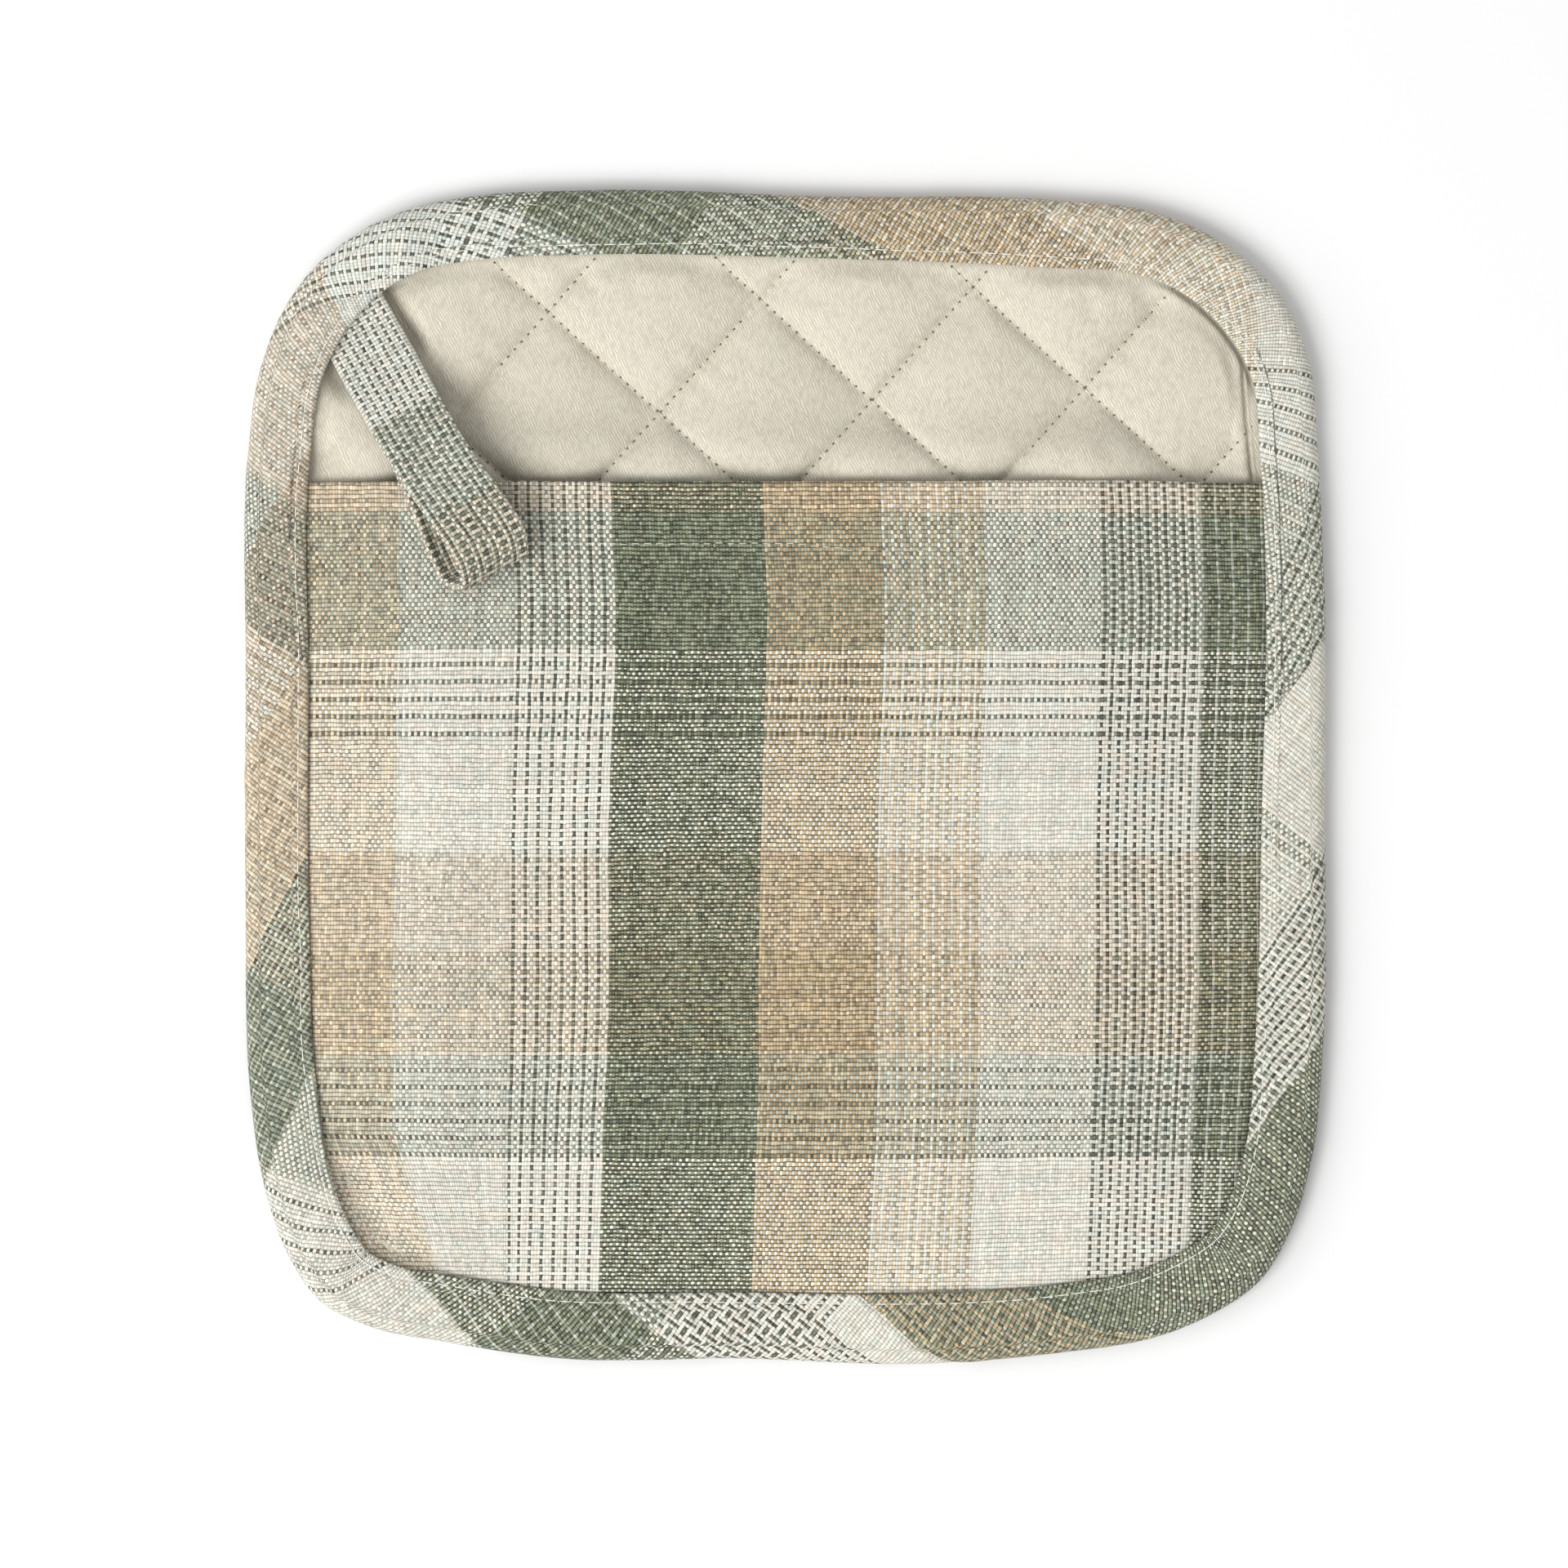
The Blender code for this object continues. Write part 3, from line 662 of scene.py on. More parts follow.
# The plaid's chart: from each place on, a yarn, and for warps its fullness, by which it
# covers more of the yarns that cross it. Then, where there is one, the accent yarn that
# takes the place of every n-th, with n and its fullness. Places to 120 are the
# pocket's, and the rest belong to the lengths of the binding and the loop.
WARPS = (
    (-150.0, "pale tan", 0.65, "rose tan", 3, 0.65),
    # The white warps of this stripe are darkened: painted shade on the pocket's left side.
    (-75.3, "off white", 0.30),
    (-52.3, "white", 0.30, "dark", 4, 1.00),
    (-33.6, "green", 1.45),
    (-3.9, "tan", 0.85),
    (18.5, "pale tan", 0.60, "white", 3, 0.60),
    (38.7, "white", 0.30),
    (60.9, "white", 0.30, "dark", 3, 0.90),
    (80.4, "green", 1.25, "mid grey", 5, 0.80),
    (160.0, "white", 0.30),
    (208.8, "white", 0.30, "dark", 3, 0.90),
    (228.3, "green", 1.20, "mid grey", 5, 0.80),
    (258.0, "white", 0.30),
    (290.0, "green", 0.90, "mid grey", 2, 0.50),
    (311.0, "pale tan", 0.50, "rose tan", 3, 0.50),
    (380.0, "rose tan", 0.45, "deep tan", 3, 0.45),
    (424.7, "off white", 0.30),
    (447.1, "cool white", 0.30, "dark", 4, 0.70),
    (466.4, "green", 0.85, "mid grey", 5, 0.50),
    (496.1, "tan", 0.90, "rose tan", 4, 0.90),
    (518.5, "pale tan", 0.60, "white", 3, 0.60),
    (538.7, "white", 0.30),
    (560.9, "white", 0.40, "dark", 4, 0.70),
    (580.4, "green", 0.80),
    (610.0, "white", 0.30),
    (660.9, "white", 0.30, "dark", 3, 0.90),
    (680.4, "green", 0.90),
    (710.1, "tan", 0.90, "green", 3, 0.90),
    (880.0, "off white", 0.30, "dark", 3, 1.00),
)
WEFTS = (
    (-150.0, "white"),
    (-73.0, "mid grey", "dark", 4),
    (-53.7, "grey tan", "rose tan", 3),
    (-33.1, "rose tan"),
    (-14.1, "white"),
    (8.2, "white", "dark", 4),
    (24.8, "grey green"),
    (51.8, "rose tan", "deep tan", 2),
    (300.0, "white", "grey tan", 4),
    (324.8, "grey green", "dark", 4),
    (351.8, "rose tan", "deep tan", 4),
    (389.5, "cool white"),
    (414.0, "cool white", "dark", 5),
    (427.0, "grey green"),
    (456.0, "soft grey", "mid grey", 3),
    (477.0, "grey tan", "soft grey", 2),
    (513.0, "rose tan", "white", 4),
    (538.0, "white", "rose tan", 4),
    (556.0, "white"),
    (574.1, "cool white", "dark", 5),
    (594.0, "grey green", "mid grey", 3),
    (690.0, "white"),
    (721.5, "grey green", "white", 3),
    (727.5, "white", "mid grey", 2),
    (763.0, "soft grey", "grey green", 2),
    (815.0, "grey green", "mid grey", 3),
    (880.0, "white"),
    (912.0, "white", "dark", 3),
    (937.0, "grey green", "mid grey", 4),
    (958.0, "soft grey"),
    (981.0, "soft grey", "dark", 5),
    (1002.0, "grey green"),
    (1032.0, "grey tan", "soft grey", 2),
    (1052.0, "rose tan", "deep tan", 3),
    (1200.0, "cool white"),
    (1221.0, "grey green", "mid grey", 3),
    # From here on the loop's weft runs before its fold, round it and along the lower layer. It is
    # dark, partly the tape's own colour and partly painted shade of the fold.
    (1244.0, "deep tan", "green", 2),
)


def charted(number, pitch, chart, low, high):
    """Colour and fullness of a yarn from its number, by the chart's rows from low to high.

    In each stripe the accent falls on its first yarn and on every n-th from there.
    """
    starts = [row[0] for row in chart] + [math.inf]
    middle = (number + 0.5) * pitch
    colour = fullness = None
    for (start, base, *rest), end in zip(chart, starts[1:]):
        if start >= high or end <= low:
            continue
        own, full = YARNS[base], rest.pop(0) if chart is WARPS else 0.0
        if rest:
            other, every, *other_full = rest
            turn = (number - float(round(start / pitch))) / float(every)
            picked = (turn - turn.floor()) * every < 0.5
            own = picked.blend(own, YARNS[other])
            if other_full and other_full[0] != full:
                full = picked * (other_full[0] - full) + full
        if colour is None:
            colour, fullness = own, full
            continue
        here = middle > start
        colour = here.blend(colour, own)
        if chart is WARPS:
            fullness = fullness + here * (full - fullness)
    return colour, fullness


def plaid(name, across=(-110.0, 110.0), along=(-120.0, 60.0)):
    """Plain-weave plaid of slubby linen and cotton, drawn yarn by yarn.

    Each warp yarn rises and falls as a cosine along its length, in turn with its
    neighbours, and each weft yarn the other way round. Both have a round section. The
    higher of the two is seen. Its lightness wavers from yarn to yarn, along it by its
    slubs, and from crossing to crossing, most in dark cloth. Low places get less light,
    s of it, and light that bounces between yarns of colour c makes up for it in pale
    cloth: they show as c s, divided by 1 less the root of c times (1 - s).
    """
    material, shader, place = new_material(name, 0.85, sheen=0.1, specular=0.2)
    flat = place.node("ShaderNodeUVMap", {"uv_map": "cloth"}, {})
    waver = flat.noise(0.22, 2.0) * 0.5 + flat.noise(1.1, 1.0) * 0.22
    sideways, lengthways = flat.parts()
    warp, weft = (sideways + waver) / WARP_PITCH, (lengthways + waver) / WEFT_PITCH
    warp_number, weft_number = warp.floor(), weft.floor()
    side, end = warp - warp_number - 0.5, weft - weft_number - 0.5

    def random_of(number, offset):
        """A random number for each yarn."""
        return place.node(
            "ShaderNodeTexWhiteNoise", {"noise_dimensions": "1D"}, {"W": number + offset}
        )

    def slub_of(lengthwise, number, grain):
        """Thick and thin places along each yarn."""
        spot = place.node(
            "ShaderNodeCombineXYZ", {}, {0: number * 7.31, 1: lengthwise * grain, 2: 0.0}
        )
        return spot.noise(1.0, 2.0)

    def round_section(from_middle):
        return (1.0 - from_middle * from_middle * 4.0).root()

    def seen(of_warp, of_weft):
        """What the yarn that lies over the other gives."""
        return over * of_warp + (1.0 - over) * of_weft

    warp_colour, fullness = charted(warp_number, WARP_PITCH, WARPS, *across)
    weft_colour, _ = charted(weft_number, WEFT_PITCH, WEFTS, *along)
    warp_slub = slub_of(weft, warp_number, 0.45)
    weft_slub = slub_of(warp, weft_number, 0.33)
    warp_crest = ((weft - 0.5 + warp_number) * math.pi).wave() + round_section(side)
    weft_crest = round_section(end) - ((warp - 0.5 + weft_number) * math.pi).wave()
    over = warp_crest + fullness + (warp_slub - 0.5) * 1.5 > weft_crest + (weft_slub - 0.5) * 1.5
    crest = seen(warp_crest, weft_crest)
    colour = over.blend(weft_colour, warp_colour)
    tone = seen(random_of(warp_number, 0.3), random_of(weft_number, 91.7))
    slub = seen(warp_slub, weft_slub)
    fibre = flat.noise(5.0, 3.0)
    crossing = place.node("ShaderNodeCombineXYZ", {}, {0: warp_number, 1: weft_number, 2: 0.5})
    knot = place.node("ShaderNodeTexWhiteNoise", {"noise_dimensions": "3D"}, {"Vector": crossing})
    paleness = place.node("ShaderNodeSeparateColor", {}, {0: colour}, output=1)
    uneven = tone * 0.30 + slub * 0.80 + fibre * 0.55 - 0.825
    uneven = uneven + (knot - 0.5) * paleness.ease(0.16, 0.60, 1.0, 0.20)
    lightness = uneven * paleness.ease(0.45, 0.60, 1.0, 0.72) + 1.085
    furrow = round_section(end) * 0.70 + 0.30
    lit = crest.ease(-0.3, 1.7, 0.30, 1.0) * furrow
    lit = lit * lit
    tint = flat.noise(0.3, 4.0).ease(0.3, 0.7).blend((1.04, 0.99, 0.95), (0.97, 1.01, 1.01))
    toned = colour.vector("SCALE", lightness).vector("MULTIPLY", tint)
    bounce = place.node("ShaderNodeGamma", {}, {"Color": toned, "Gamma": 0.5})
    kept = place.node(
        "ShaderNodeVectorMath", {"operation": "SUBTRACT"},
        {0: (1.0, 1.0, 1.0), 1: bounce.vector("SCALE", 1.0 - lit)},
    )
    colour = toned.vector("SCALE", lit).vector("DIVIDE", kept)
    finish_material(shader, colour, crest + fibre * 0.4, 0.08)
    return material


def pocket_top(points):
    """Upper face of the pocket: level under the binding, then a low crown.

    The crown is a quarter sine over the ramp, a little higher at the mouth. The
    bottom left corner stays down beside the binding. Small waves, the folds of the
    table, the ridge of the hem's turned edge and its row of stitches lie on it.
    """
    inside = inside_edge(points)[1]
    x, y = points.T
    rise = POCKET_RISE + (MOUTH_RISE - POCKET_RISE) * smooth(y, -20.0, MOUTH - HEM)
    corner = 1.0 - smooth(np.hypot(x - GUTTER[0], y - GUTTER[1]), 16.0, 42.0)
    climb = np.clip((inside - 2.5 * corner) / POCKET_RAMP, 0.0, 1.0)
    top = COVERED + rise * np.sin(0.5 * math.pi * climb)
    foot = smooth(x, -14.0, -6.0) * (1.0 - smooth(x, 30.0, 38.0)) * (y < -60.0)
    lip = POCKET_LIP + FOOT_LIP * foot
    top += lip * smooth(inside, 0.1, 1.3) * (1.0 - corner) * (1.0 - smooth(y, 35.0, 44.0))
    top -= creases(points, POCKET_FOLDS)
    sunk = smooth(points @ LOW_CORNER, 110.5, 115.5) * smooth(inside, 0.5, 2.5)
    along_corner = points @ (-LOW_CORNER[1], LOW_CORNER[0])
    top -= CORNER_SUNK * sunk * np.exp(-((along_corner - 9.0) / 20.0) ** 4)
    free = smooth(inside, 1.0, 8.0)
    top += free * (0.22 * wander(points, 26.0, 41) + 0.05 * wander(points, 5.0, 42))
    below = y - np.interp(x, *np.array(HEM_LINE).T)
    top += HEM_RIDGE * free * (smooth(below, -1.6, -0.4) - 1.0)
    top -= HEM_DENT * bell(below, 0.45) * (0.8 + 0.2 * np.cos(2 * math.pi * x / HEM_STITCH))
    top += 0.07 * wander(points, (HEM_STITCH, 7.0), 43) * bell(below, 2.5)
    edge = wander(np.column_stack([x + y, x - y]), 3.5, 44)
    return top + 0.12 * edge * bell(inside - 2.5, 3.0) * smooth(inside, 0.0, 1.0)


def mouth_at(x):
    """Height of the mouth's edge, which is not quite straight."""
    row = np.column_stack([x, np.zeros(len(x))])
    return MOUTH + 0.30 * wander(row, 34.0, 45) + 0.10 * wander(row, 6.0, 46)


def pocket_face(points, side=1.0):
    """Upper face, or the lower one for side -1.

    One layer thick, two in the hem, and round at the mouth's fold.
    """
    x, y = points.T
    thick = CLOTH + (HEM_CLOTH - CLOTH) * smooth(y, MOUTH - HEM, MOUTH - HEM + 1.0)
    left = thick * np.maximum(rounded(mouth_at(x) - y, FOLD_ROUND), 0.02)
    return pocket_top(points) - 0.5 * (thick - side * left)


def pocket_cloth(points):
    """Place of each point in the flat cloth: the stripes drift, the yarns waver.

    In the bottom left corner the stripes lean outwards.
    """
    x, y = points.T
    across = x + np.interp(y, *np.array(STRIPE_DRIFT).T) + 0.35 * wander(points, 30.0, 47)
    across -= 0.37 * np.maximum(0.0, -69.0 - y) * (1.0 - smooth(x, -72.0, -50.0))
    return np.column_stack([across, y + 0.4 * wander(points, 38.0, 48)])


# The grid is finest at the hem's edge and the fold of the mouth.
pocket_ring = RIM + RIM_INWARD * POCKET_INSET
foot_left, foot_right = (-86.5, -96.5), (88.5, -93.5)
pocket_low = side_between(pocket_ring, foot_left, foot_right)
pocket_right = side_between(pocket_ring, foot_right, (100.2, MOUTH))
pocket_left = side_between(pocket_ring, (-100.9, MOUTH), foot_left)[::-1]
mouth_x = np.linspace(pocket_left[-1, 0], pocket_right[-1, 0], 260)
pocket_high = np.column_stack([mouth_x, mouth_at(mouth_x)])
pocket_left[-1], pocket_right[-1] = pocket_high[0], pocket_high[-1]
pocket_rows = np.append(
    graded((0.0, 0.90, 130), (0.90, 0.985, 26)), 1.0 - 0.015 * np.linspace(1.0, 0.0, 13)[1:] ** 1.7
)
pocket_plan = filled(
    pocket_low, pocket_right, pocket_high, pocket_left, np.linspace(0.0, 1.0, 211), pocket_rows,
)
pocket = closed_sheet(
    "hand_pocket", pocket_plan, pocket_face, lambda points: pocket_face(points, -1.0), 2,
    pocket_cloth,
)
pocket.data.materials.append(plaid("pocket_plaid"))
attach(pocket, "root")
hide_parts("pocket")

chance = np.random.default_rng(7)
hem_x = np.arange(-91.0, 92.0, HEM_STITCH)
hem_y = np.interp(hem_x, *np.array(HEM_LINE).T) + chance.normal(0, 0.08, len(hem_x))
hem_places = np.column_stack([hem_x, hem_y])
hem_places = hem_places[inside_edge(hem_places)[1] > 0.6]
middles, along, up = lie_on(
    pocket_face, hem_places, np.tile((1.0, 0.0), (len(hem_places), 1)), 0.8
)
hem_thread = stitches("hem_thread", middles + (0.0, 0.0, 0.08), along, up, 1.45, 0.10, 0.16)
hem_thread.data.materials.append(thread("pale_thread", (0.42, 0.41, 0.36), (0.66, 0.64, 0.58)))
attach(hem_thread, "root")


# ------------------------------------------------------------------ binding
# Strip of the same plaid cut on the bias, folded over the raw edges and sewn through.
# Three lengths are joined by slanting seams: at the left, the right and the bottom.

BINDING_HEIGHT = 7.0
BINDING_CLOTH = 1.3
TOPSTITCH = 3.1
NOSE = 3.2              # depth of the rounded outer fold
BACK_SHORT = 1.8        # the back face is this much narrower than the front
FACE_DOME = 0.30
STITCH_DENT = 0.15
EDGE_ROUND = 0.9        # radius of the turned inner edge in plan
EDGE_DROP = 0.75        # and its height
STITCH_ROW = 2.0        # the topstitching, in from the inner edge
FACE_CLOTH = 13.0       # the inner edge, by distance along the cloth
STATION_STEP = 0.85
MIDDLE = 6.5            # the middle of the front face, in from the outer edge
SEAM_SLANT = 1.25       # a seam moves on this much for each step in from the edge

SWELLINGS = (
    # x       y     rise  level  fade
    (-86.0,   92.0, 1.9,  15.0,  10.0),     # over the loop's ends
    (28.0,  -107.0, 0.5,   3.0,  10.0),     # join at the bottom
    (-98.0,   12.0, 0.3,   2.0,   9.0),     # join at the left
    (99.0,    20.0, 0.3,   2.0,   9.0),     # join at the right
    (-88.0,  -88.0, 0.8,  12.0,  22.0),     # bottom left corner
)

# Where the plaid's chart lies on each length, clockwise: the warp and weft places that
# cross the middle of the face there, and the warps' angle to the strip.
STRIPS = (
    (   # left join, over the top, to the right join
        # x      y      warp   weft   angle
        (-98.8, 14.5, 404.6, 314.6, 30.0),
        (-99.1, 55.8, 425.5, 351.8, 30.0),
        (-85.1, 100.2, 451.6, 396.3, 32.0),
        (-46.6, 107.2, 466.4, 430.0, 30.0),
        (12.1, 106.5, 496.1, 480.6, 30.0),
        (56.4, 104.5, 518.5, 518.8, 30.0),
        (86.6, 95.0, 535.0, 551.0, 32.0),
        (99.0, 79.8, 543.0, 573.8, 20.0),
        (99.8, 64.0, 550.0, 589.6, 17.0),
        (99.8, 44.0, 560.5, 607.0, 30.0),
        (99.8, 18.0, 575.0, 630.0, 32.0),
    ),
    (   # right join to the bottom join
        (99.8, 18.0, 636.0, 700.0, 35.0),
        (99.8, -10.1, 651.9, 721.5, 35.0),
        (99.8, -27.6, 661.2, 735.6, 35.0),
        (99.8, -62.0, 680.9, 763.8, 35.0),
        (87.5, -93.7, 695.2, 796.0, 22.0),
        (55.3, -106.0, 710.1, 830.5, 28.0),
        (22.0, -107.2, 732.5, 856.0, 42.0),
    ),
    (   # bottom join, round the corner and up to the left join
        (22.0, -107.2, 200.0, 900.0, 38.0),
        (7.7, -107.3, 208.8, 911.0, 38.0),
        (-27.2, -106.1, 228.3, 939.0, 38.0),
        (-66.1, -103.0, 258.0, 966.0, 46.0),
        (-85.5, -97.7, 269.0, 983.0, 42.0),
        (-97.5, -66.9, 290.0, 1011.0, 30.0),
        (-97.8, -25.2, 311.0, 1045.0, 32.0),
        (-98.8, 14.5, 331.0, 1078.0, 30.0),
    ),
)

# The outer edge once more, clockwise from the left join, by distance travelled.
clockwise = (nearest(RIM, STRIPS[0][0][:2]) - np.arange(len(RIM) + 1)) % len(RIM)
ROUND, ROUND_INWARD, ROUND_FACE = RIM[clockwise], RIM_INWARD[clockwise], RIM_FACE[clockwise]
ROUND_TRAVEL = travelled(ROUND)
ROUND_LENGTH = ROUND_TRAVEL[-1]


def round_at(travel):
    """Outer edge point, inward direction and face width at distances clockwise."""
    wrapped = np.mod(travel, ROUND_LENGTH)
    columns = np.column_stack([ROUND, ROUND_INWARD, ROUND_FACE[:, None]])
    found = [np.interp(wrapped, ROUND_TRAVEL, column) for column in columns.T]
    return np.stack(found[0:2], axis=-1), np.stack(found[2:4], axis=-1), found[4]


def strip_places():
    """For each length: its ends, then its distances and the chart's places at them.

    Warp, weft and angle are straight between the rows and run on past both ends, the
    angle unchanged; a window of 23 mm eases them.
    """
    run_on, eased_over = 60.0, 23
    window = np.hanning(eased_over) / np.hanning(eased_over).sum()
    found = []
    for rows in STRIPS:
        travel = np.array([ROUND_TRAVEL[nearest(ROUND, row[:2])] for row in rows])
        if travel[-1] < travel[-2]:
            travel[-1] += ROUND_LENGTH
        if travel[0] > travel[1]:
            travel[0] -= ROUND_LENGTH
        values = np.array([row[2:] for row in rows])
        first = values[0] - (values[1] - values[0]) / (travel[1] - travel[0]) * run_on
        last = values[-1] + (values[-1] - values[-2]) / (travel[-1] - travel[-2]) * run_on
        first[2], last[2] = values[0, 2], values[-1, 2]
        knots = np.concatenate([[travel[0] - run_on], travel, [travel[-1] + run_on]])
        even = np.arange(knots[0], knots[-1], 1.0)
        eased = []
        for column in np.vstack([first, values, last]).T:
            straight = np.interp(even, knots, column)
            wider = np.pad(straight, eased_over // 2, mode="reflect", reflect_type="odd")
            eased.append(np.convolve(wider, window, mode="valid"))
        found.append((travel[0], travel[-1], even, eased))
    return found


STRIP_PLACES = strip_places()

# The binding's section: for each point its zone, its position in it, and its distance
# along the cloth, measured at the middle of the front face. Positions are degrees in
# the folds, distances from the inner edge in the zones at an edge, and otherwise
# fractions of the face. The inside is coarse.
BINDING_SECTION = (
    [("back edge", e, e - 21.0) for e in (0.0, 0.4, 1.0)]
    + [("back", q, -10.5 - 9.0 * q) for q in np.linspace(0.9, 0.0, 9)]
    + [("fold", a, -2.7 + a / 18.0) for a in np.linspace(-80.0, 80.0, 13)]
    + [("front", q, NOSE + 9.3 * q) for q in np.linspace(0.0, 0.66, 11)]
    + [
        ("front edge", e, FACE_CLOTH - e)
        for e in (3.1, 2.7, 2.4, 2.15, 1.9, 1.65, 1.4, 1.1, 0.8, 0.5, 0.3, 0.15, 0.04)
    ]
    + [("turned", low, FACE_CLOTH + low) for low in (0.35, 0.7, 1.0)]
    + [("inside front", q, NOSE + 9.3 * q) for q in (0.95, 0.7, 0.45, 0.2)]
    + [("inside fold", a, -3.0 + a / 18.0) for a in (70.0, 35.0, 0.0, -35.0, -70.0)]
    + [("inside back", q, -10.5 - 9.0 * q) for q in (0.2, 0.5, 0.8)]
)


def swelling(points):
    """How much the binding is raised at each point."""
    rise = np.zeros(len(points))
    for x, y, height, level, fade in SWELLINGS:
        apart = np.hypot(points[:, 0] - x, points[:, 1] - y)
        rise = np.maximum(rise, height * (1.0 - smooth(apart, level, level + fade)))
    return rise


def stitch_row(travel):
    """Distance of the topstitching from the face's inner edge."""
    return STITCH_ROW + 0.25 * wander(np.column_stack([travel, 0.0 * travel]), 14.0, 72)


def binding_surface(travel, station, zone, value, cloth_place):
    """Points of one section row all round: distance in, and height, by its zone.

    The front face is slightly domed, dented along its stitches, gathered in small
    ripples on the inside of the corners, and stepped where two lengths are joined.
    """
    edge, inward, face = round_at(travel)
    height = BINDING_HEIGHT + swelling(edge + inward * MIDDLE)
    middle = 0.5 * height
    back = face - BACK_SHORT
    turning = round_at(travel + 6.0)[1] - round_at(travel - 6.0)[1]
    bend = np.clip(np.linalg.norm(turning, axis=1) * 2.2, 0.0, 1.0)
    spot = np.column_stack([travel, np.full(len(travel), cloth_place)])
    rough = wander(spot, 8.0, 51)
    lumps = 0.17 * rough + 0.07 * wander(spot, 3.2, 52)
    gather = bend * np.cos(2 * math.pi * (travel + 0.6 * cloth_place) / 5.2 + 2.0 * rough)
    seam = np.full(len(travel), np.inf)
    for _, last, _, _ in STRIP_PLACES:
        away = np.mod(station - last + 0.5 * ROUND_LENGTH, ROUND_LENGTH) - 0.5 * ROUND_LENGTH
        seam = np.where(np.abs(away) < np.abs(seam), away, seam)
    join = 0.30 * bell(seam + 3.5, 2.6) - 0.42 * bell(seam, 0.75)
    if zone == "back edge":
        depth, level = back - 0.3 * value, 0.65 * (1.0 - value)
    elif zone == "back":
        depth, level = NOSE + (back - 1.0 - NOSE) * value, 0.02
    elif zone == "fold":
        angle = math.radians(value)
        depth = NOSE - (NOSE + 0.35 * lumps + 0.5 * join) * math.cos(angle)
        level = middle + middle * math.sin(angle) + (lumps + join) * max(math.sin(angle), 0.0)
    elif zone in ("front", "front edge"):
        depth = face - value if zone == "front edge" else NOSE + (face - NOSE) * value
        from_edge = face - depth
        share = (depth - NOSE) / (face - NOSE)
        level = height + FACE_DOME * np.sin(math.pi * np.clip(share, 0.0, 1.0)) + lumps + join
        level += 0.16 * gather * share
        dent = 0.85 + 0.15 * np.cos(2 * math.pi * travel / TOPSTITCH)
        level -= STITCH_DENT * dent * bell(from_edge - stitch_row(travel), 0.60)
        level -= 0.10 * smooth(from_edge, 2.4, 0.4)
        level -= EDGE_DROP * (1.0 - rounded(from_edge, EDGE_ROUND))
    elif zone == "turned":
        depth = face - 0.7 * value ** 2
        level = height - EDGE_DROP - 0.55 * value + 0.25 * lumps
    elif zone == "inside front":
        depth = NOSE + (face - 0.7 - NOSE) * value
        level = height - BINDING_CLOTH
    elif zone == "inside fold":
        angle = math.radians(value)
        depth = NOSE - (NOSE - BINDING_CLOTH) * math.cos(angle)
        level = middle + (middle - BINDING_CLOTH) * math.sin(angle)
    else:
        depth, level = NOSE + (back - 0.5 - NOSE) * value, BINDING_CLOTH
    depth, level, _ = np.broadcast_arrays(depth, level, face)
    return np.column_stack([edge + inward * depth[:, None], level])


def make_binding():
    """The section carried round, its stations slanting so that they follow the seams."""
    stations, strip_of = [], []
    for k, (first, last, _, _) in enumerate(STRIP_PLACES):
        count = int((last - first) / STATION_STEP)
        stations.append(np.linspace(first, last, count, endpoint=False))
        strip_of.append(np.full(count, k))
    station, strip_of = np.concatenate(stations), np.concatenate(strip_of)
    ends = np.append(station[1:], station[0] + ROUND_LENGTH)
    points = np.stack([
        binding_surface(station + SEAM_SLANT * (place - MIDDLE), station, zone, value, place)
        for zone, value, place in BINDING_SECTION
    ], axis=1)
    places = np.array([place for _, _, place in BINDING_SECTION])
    next_places = np.append(places[1:], places[-1] - 1.0)
    cloth = np.empty((*points.shape[:2], 4, 2))
    for corner, (at, place_row) in enumerate((
        (station, places), (station, next_places), (ends, next_places), (ends, places),
    )):
        in_from = place_row[None, :] - MIDDLE
        for k, (_, _, even, (warp, weft, angle)) in enumerate(STRIP_PLACES):
            mine = strip_of == k
            travel = at[mine][:, None] + SEAM_SLANT * in_from
            turn = np.radians(np.interp(travel, even, angle))
            cloth[mine, :, corner, 0] = np.interp(travel, even, warp) - np.cos(turn) * in_from
            cloth[mine, :, corner, 1] = np.interp(travel, even, weft) + np.sin(turn) * in_from
    return make_object("bias_binding", points, [quads(numbers(points.shape[:2], 0, 1))], cloth)


binding = make_binding()
binding.data.materials.append(
    plaid("binding_plaid", across=(165.0, 800.0), along=(290.0, 1100.0))
)
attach(binding, "root")
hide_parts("binding")

top_cloth = FACE_CLOTH - STITCH_ROW
top_travel = np.arange(0.0, ROUND_LENGTH - 2.0, TOPSTITCH)
behind, here, ahead = (
    binding_surface(
        travel, travel - SEAM_SLANT * (top_cloth - MIDDLE), "front edge", stitch_row(travel),
        top_cloth,
    )
    for travel in (top_travel - 1.0, top_travel, top_travel + 1.0)
)
along = unit(ahead - behind)
up = np.cross(np.column_stack([round_at(top_travel)[1], 0.0 * top_travel]), along)
up *= np.sign(up[:, 2:])
topstitch = stitches("topstitch_thread", here + 0.10 * up, along, up, 2.4, 0.11, 0.2)
topstitch.data.materials.append(
    thread("white_thread", (0.60, 0.59, 0.54), (0.82, 0.81, 0.76))
)
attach(topstitch, "root")


# ------------------------------------------------------------- hanging loop
# Tape of the same plaid with its dashed stripe lengthwise, folded in two, with both
# ends caught under the binding at the top left corner.

TAPE_WIDTH = 15.0
TAPE_CLOTH = 1.7
TAPE_ROUND = 0.9        # radius of its soft edges in plan
TAPE_WELT = 0.14        # how much thicker the folded edges are
TAPE_CURL = 1.3         # how far the lower layer's left edge curls up

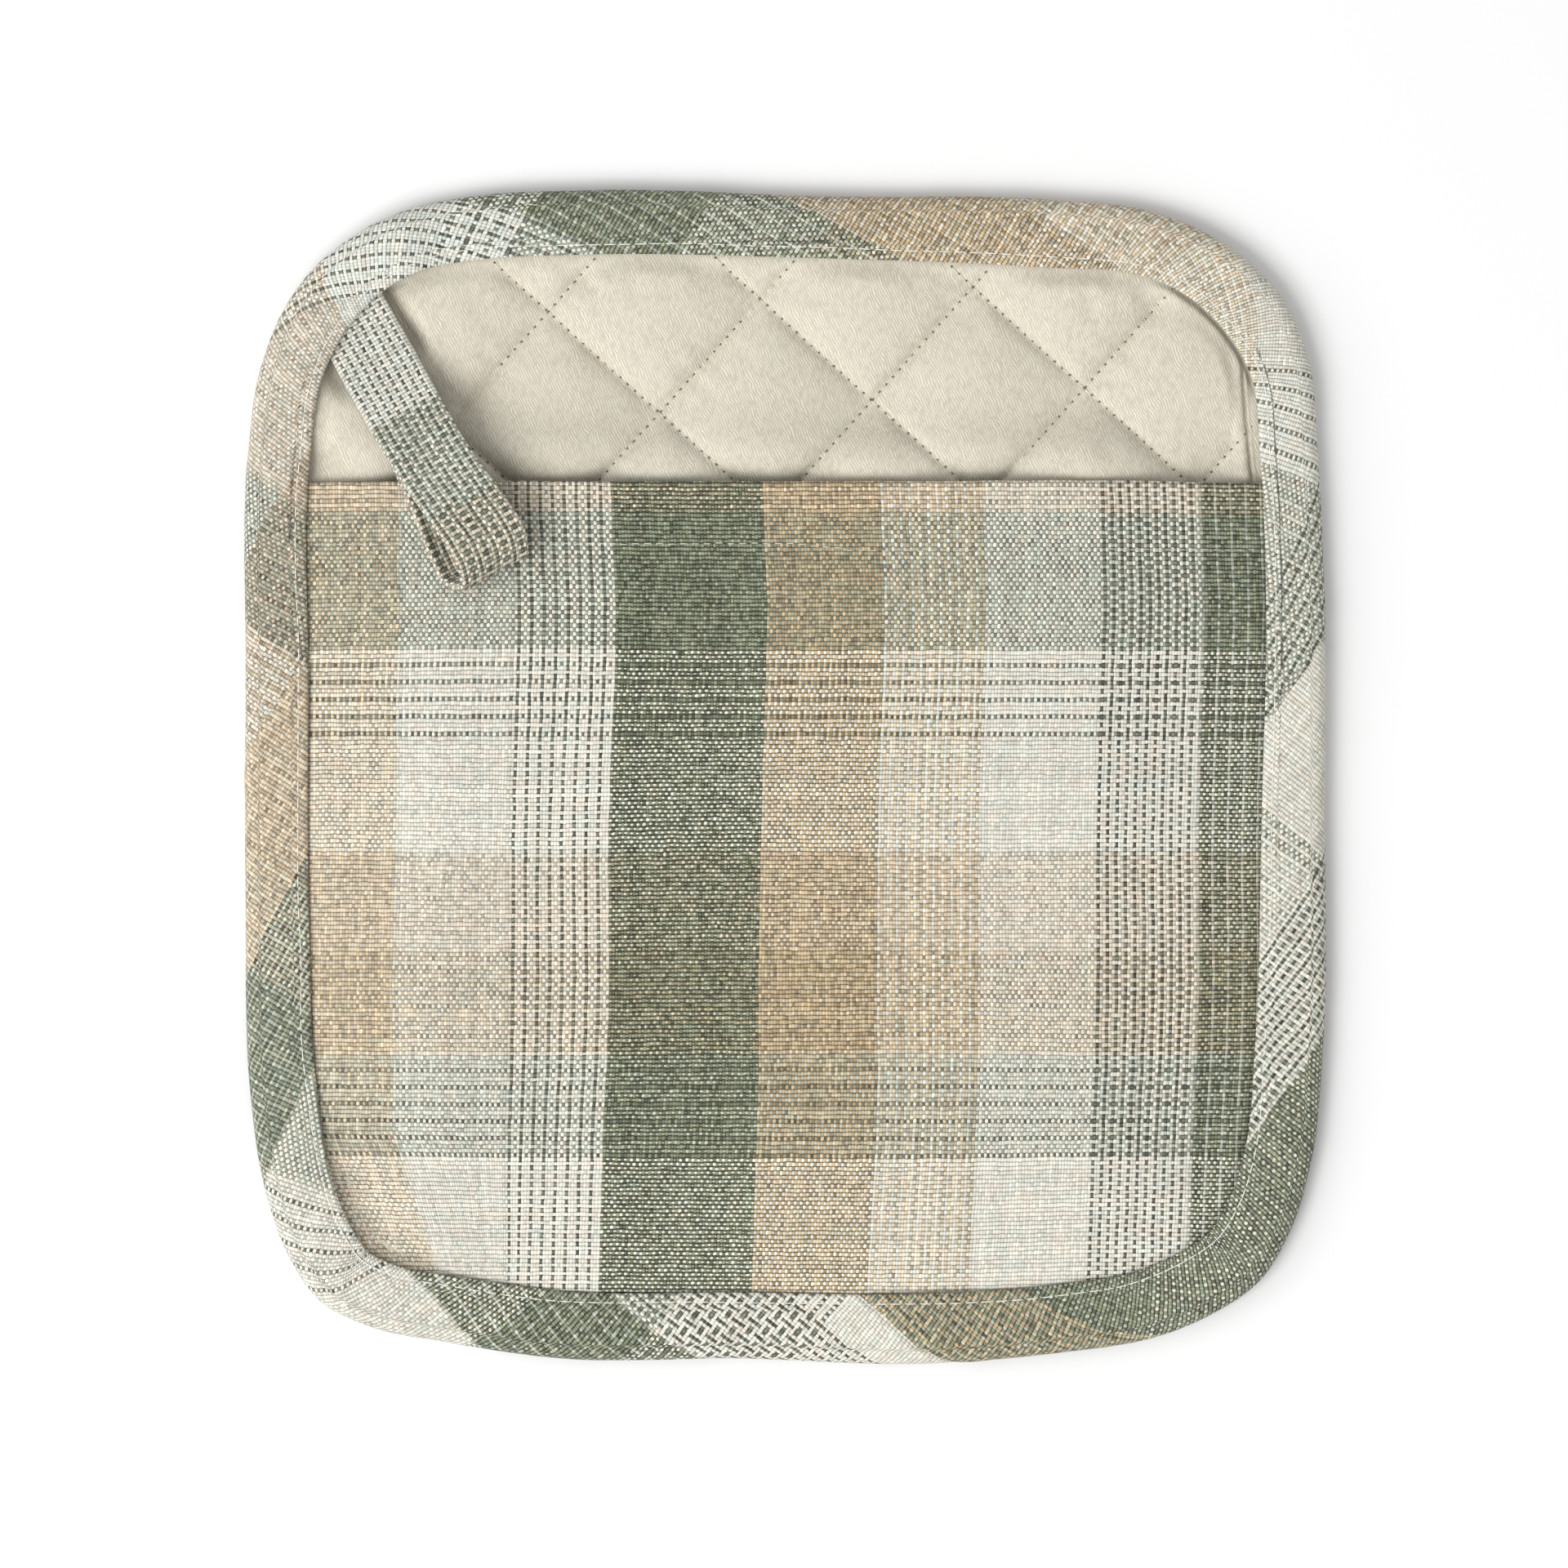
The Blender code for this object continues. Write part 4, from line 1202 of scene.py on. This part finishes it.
# Middle of the tape from its lower end, round the fold and back to its upper end.
LOOP_PATH = (
    # along  height  sideways
    (-6.0,   4.45,   0.0),
    (3.0,    4.50,   0.0),
    (8.0,    5.90,   0.0),
    (14.0,   8.10,   0.0),
    (30.0,  11.90,  -0.2),
    (40.0,  13.30,  -1.2),
    (48.8,  13.50,  -2.2),
    (52.2,  13.85,  -2.3),
    (55.0,  17.00,  -0.2),
    (51.7,  20.20,   1.6),
    (42.0,  20.00,   1.3),
    (32.0,  17.00,   0.3),
    (22.0,  12.80,   0.0),
    (14.0,  10.15,   0.0),
    (8.0,    7.95,   0.0),
    (3.0,    6.50,   0.0),
    (-6.0,   6.45,   0.0),
)


def make_loop():
    """The tape's section, flat with soft edges, carried along its path.

    The two long edges are a little thicker than the middle, and wander slightly. The
    lower layer's left edge curls up beside the fold.
    """
    along, height, shift = curve_through(LOOP_PATH, 330).T
    forward = np.gradient(np.column_stack([along, height]), axis=0)
    step = np.linalg.norm(forward, axis=1)
    forward /= step[:, None]
    travel = step.sum() - np.cumsum(step)
    half, thick = 0.5 * TAPE_WIDTH, 0.5 * TAPE_CLOTH
    edge = TAPE_ROUND * (1 - np.cos(np.linspace(0.0, 0.5 * math.pi, 6)))
    spread = np.concatenate([
        edge - half, np.linspace(1.4 - half, half - 1.4, 22), half - edge[::-1],
    ])
    from_side = half - np.abs(spread)
    profile = thick * rounded(from_side, TAPE_ROUND) + TAPE_WELT * bell(from_side - 1.2, 0.8)
    curled = smooth(along, 34.0, 44.0) * (1.0 - smooth(height, 14.0, 16.5))
    columns, cloth = [], []
    for side, row in ((1.0, spread), (-1.0, spread[-2:0:-1])):
        for offset, rise in zip(row, np.interp(row, spread, profile)):
            spot = np.column_stack([travel, np.full(len(travel), offset + 40.0 * side)])
            bump = 0.10 * wander(spot, 5.0, 61) + 0.05 * wander(spot, 2.2, 62)
            outward = side * rise * (1.0 + bump / thick)
            run = along - forward[:, 1] * outward
            sideways = shift + offset * (1.0 + 0.012 * np.sin(travel / 9.0))
            curl = TAPE_CURL * curled * smooth(-offset, 4.8, 7.4)
            columns.append(np.column_stack([
                LOOP_ROOT + run[:, None] * LOOP_ALONG + sideways[:, None] * LOOP_ACROSS,
                height + forward[:, 0] * outward + curl,
            ]))
            cloth.append(np.column_stack([900.0 + side * offset + 0.0 * travel, 1194.0 + travel]))
    points, cloth = np.stack(columns, axis=1), np.stack(cloth, axis=1)
    grid = numbers(points.shape[:2], 1)
    faces = quads(grid.T).swapaxes(0, 1)
    return make_object(
        "hanging_loop", points, [faces, grid[:1, :-1], grid[-1:, -2::-1]], cloth
    )


loop = make_loop()
loop.data.materials.append(plaid("loop_plaid", across=(881.0, 920.0), along=(1201.0, 1400.0)))
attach(loop, "root")
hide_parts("loop")


# ------------------------------------------------------------ floor and light
# Plain pale floor, even white light from all round, and two square lamps at the lower
# left: the key for the soft shadows, and a low one that shows the weave and the puffs.

floor_corners = 3000.0 * np.array([(-1, -1, 0), (1, -1, 0), (1, 1, 0), (-1, 1, 0)])
floor = make_object("floor", floor_corners, [np.array([[0, 1, 2, 3]])])
floor_paint, floor_shader, _ = new_material("floor_paint", 0.9, specular=0.0)
floor_shader.inputs["Base Color"].default_value = (0.76, 0.76, 0.76, 1.0)
floor.data.materials.append(floor_paint)

world = bpy.data.worlds.new("studio")
bpy.context.scene.world = world
world.use_nodes = True
sky = world.node_tree.nodes["Background"].inputs
sky["Color"].default_value = (1.0, 1.0, 1.0, 1.0)
sky["Strength"].default_value = 0.71


def soft_box(name, place, size, power):
    """Square lamp at a place, turned to the middle of the object."""
    lamp = bpy.data.lights.new(name, "AREA")
    lamp.size = size
    lamp.energy = power
    holder = bpy.data.objects.new(name, lamp)
    back = np.array(place) / np.linalg.norm(place)
    holder.location = place
    holder.rotation_euler = (math.acos(back[2]), 0.0, math.atan2(back[1], back[0]) + math.pi / 2)
    bpy.context.scene.collection.objects.link(holder)


soft_box("key", (-1.00, -0.88, 1.85), 1.2, 38.0)
soft_box("side", (-1.50, -0.15, 0.95), 1.0, 9.0)

VIEW_WIDTH = 0.3047     # what the picture spans at the height of the quilt
CAMERA_HEIGHT = 1.6
camera = bpy.data.cameras.new("camera")
camera.sensor_width = 36.0
camera.lens = 36.0 * CAMERA_HEIGHT / VIEW_WIDTH
viewer = bpy.data.objects.new("camera", camera)
viewer.location = (-0.00023, -0.00137, CAMERA_HEIGHT + 0.006)
bpy.context.scene.collection.objects.link(viewer)
bpy.context.scene.camera = viewer
bpy.context.scene.view_settings.view_transform = "Standard"
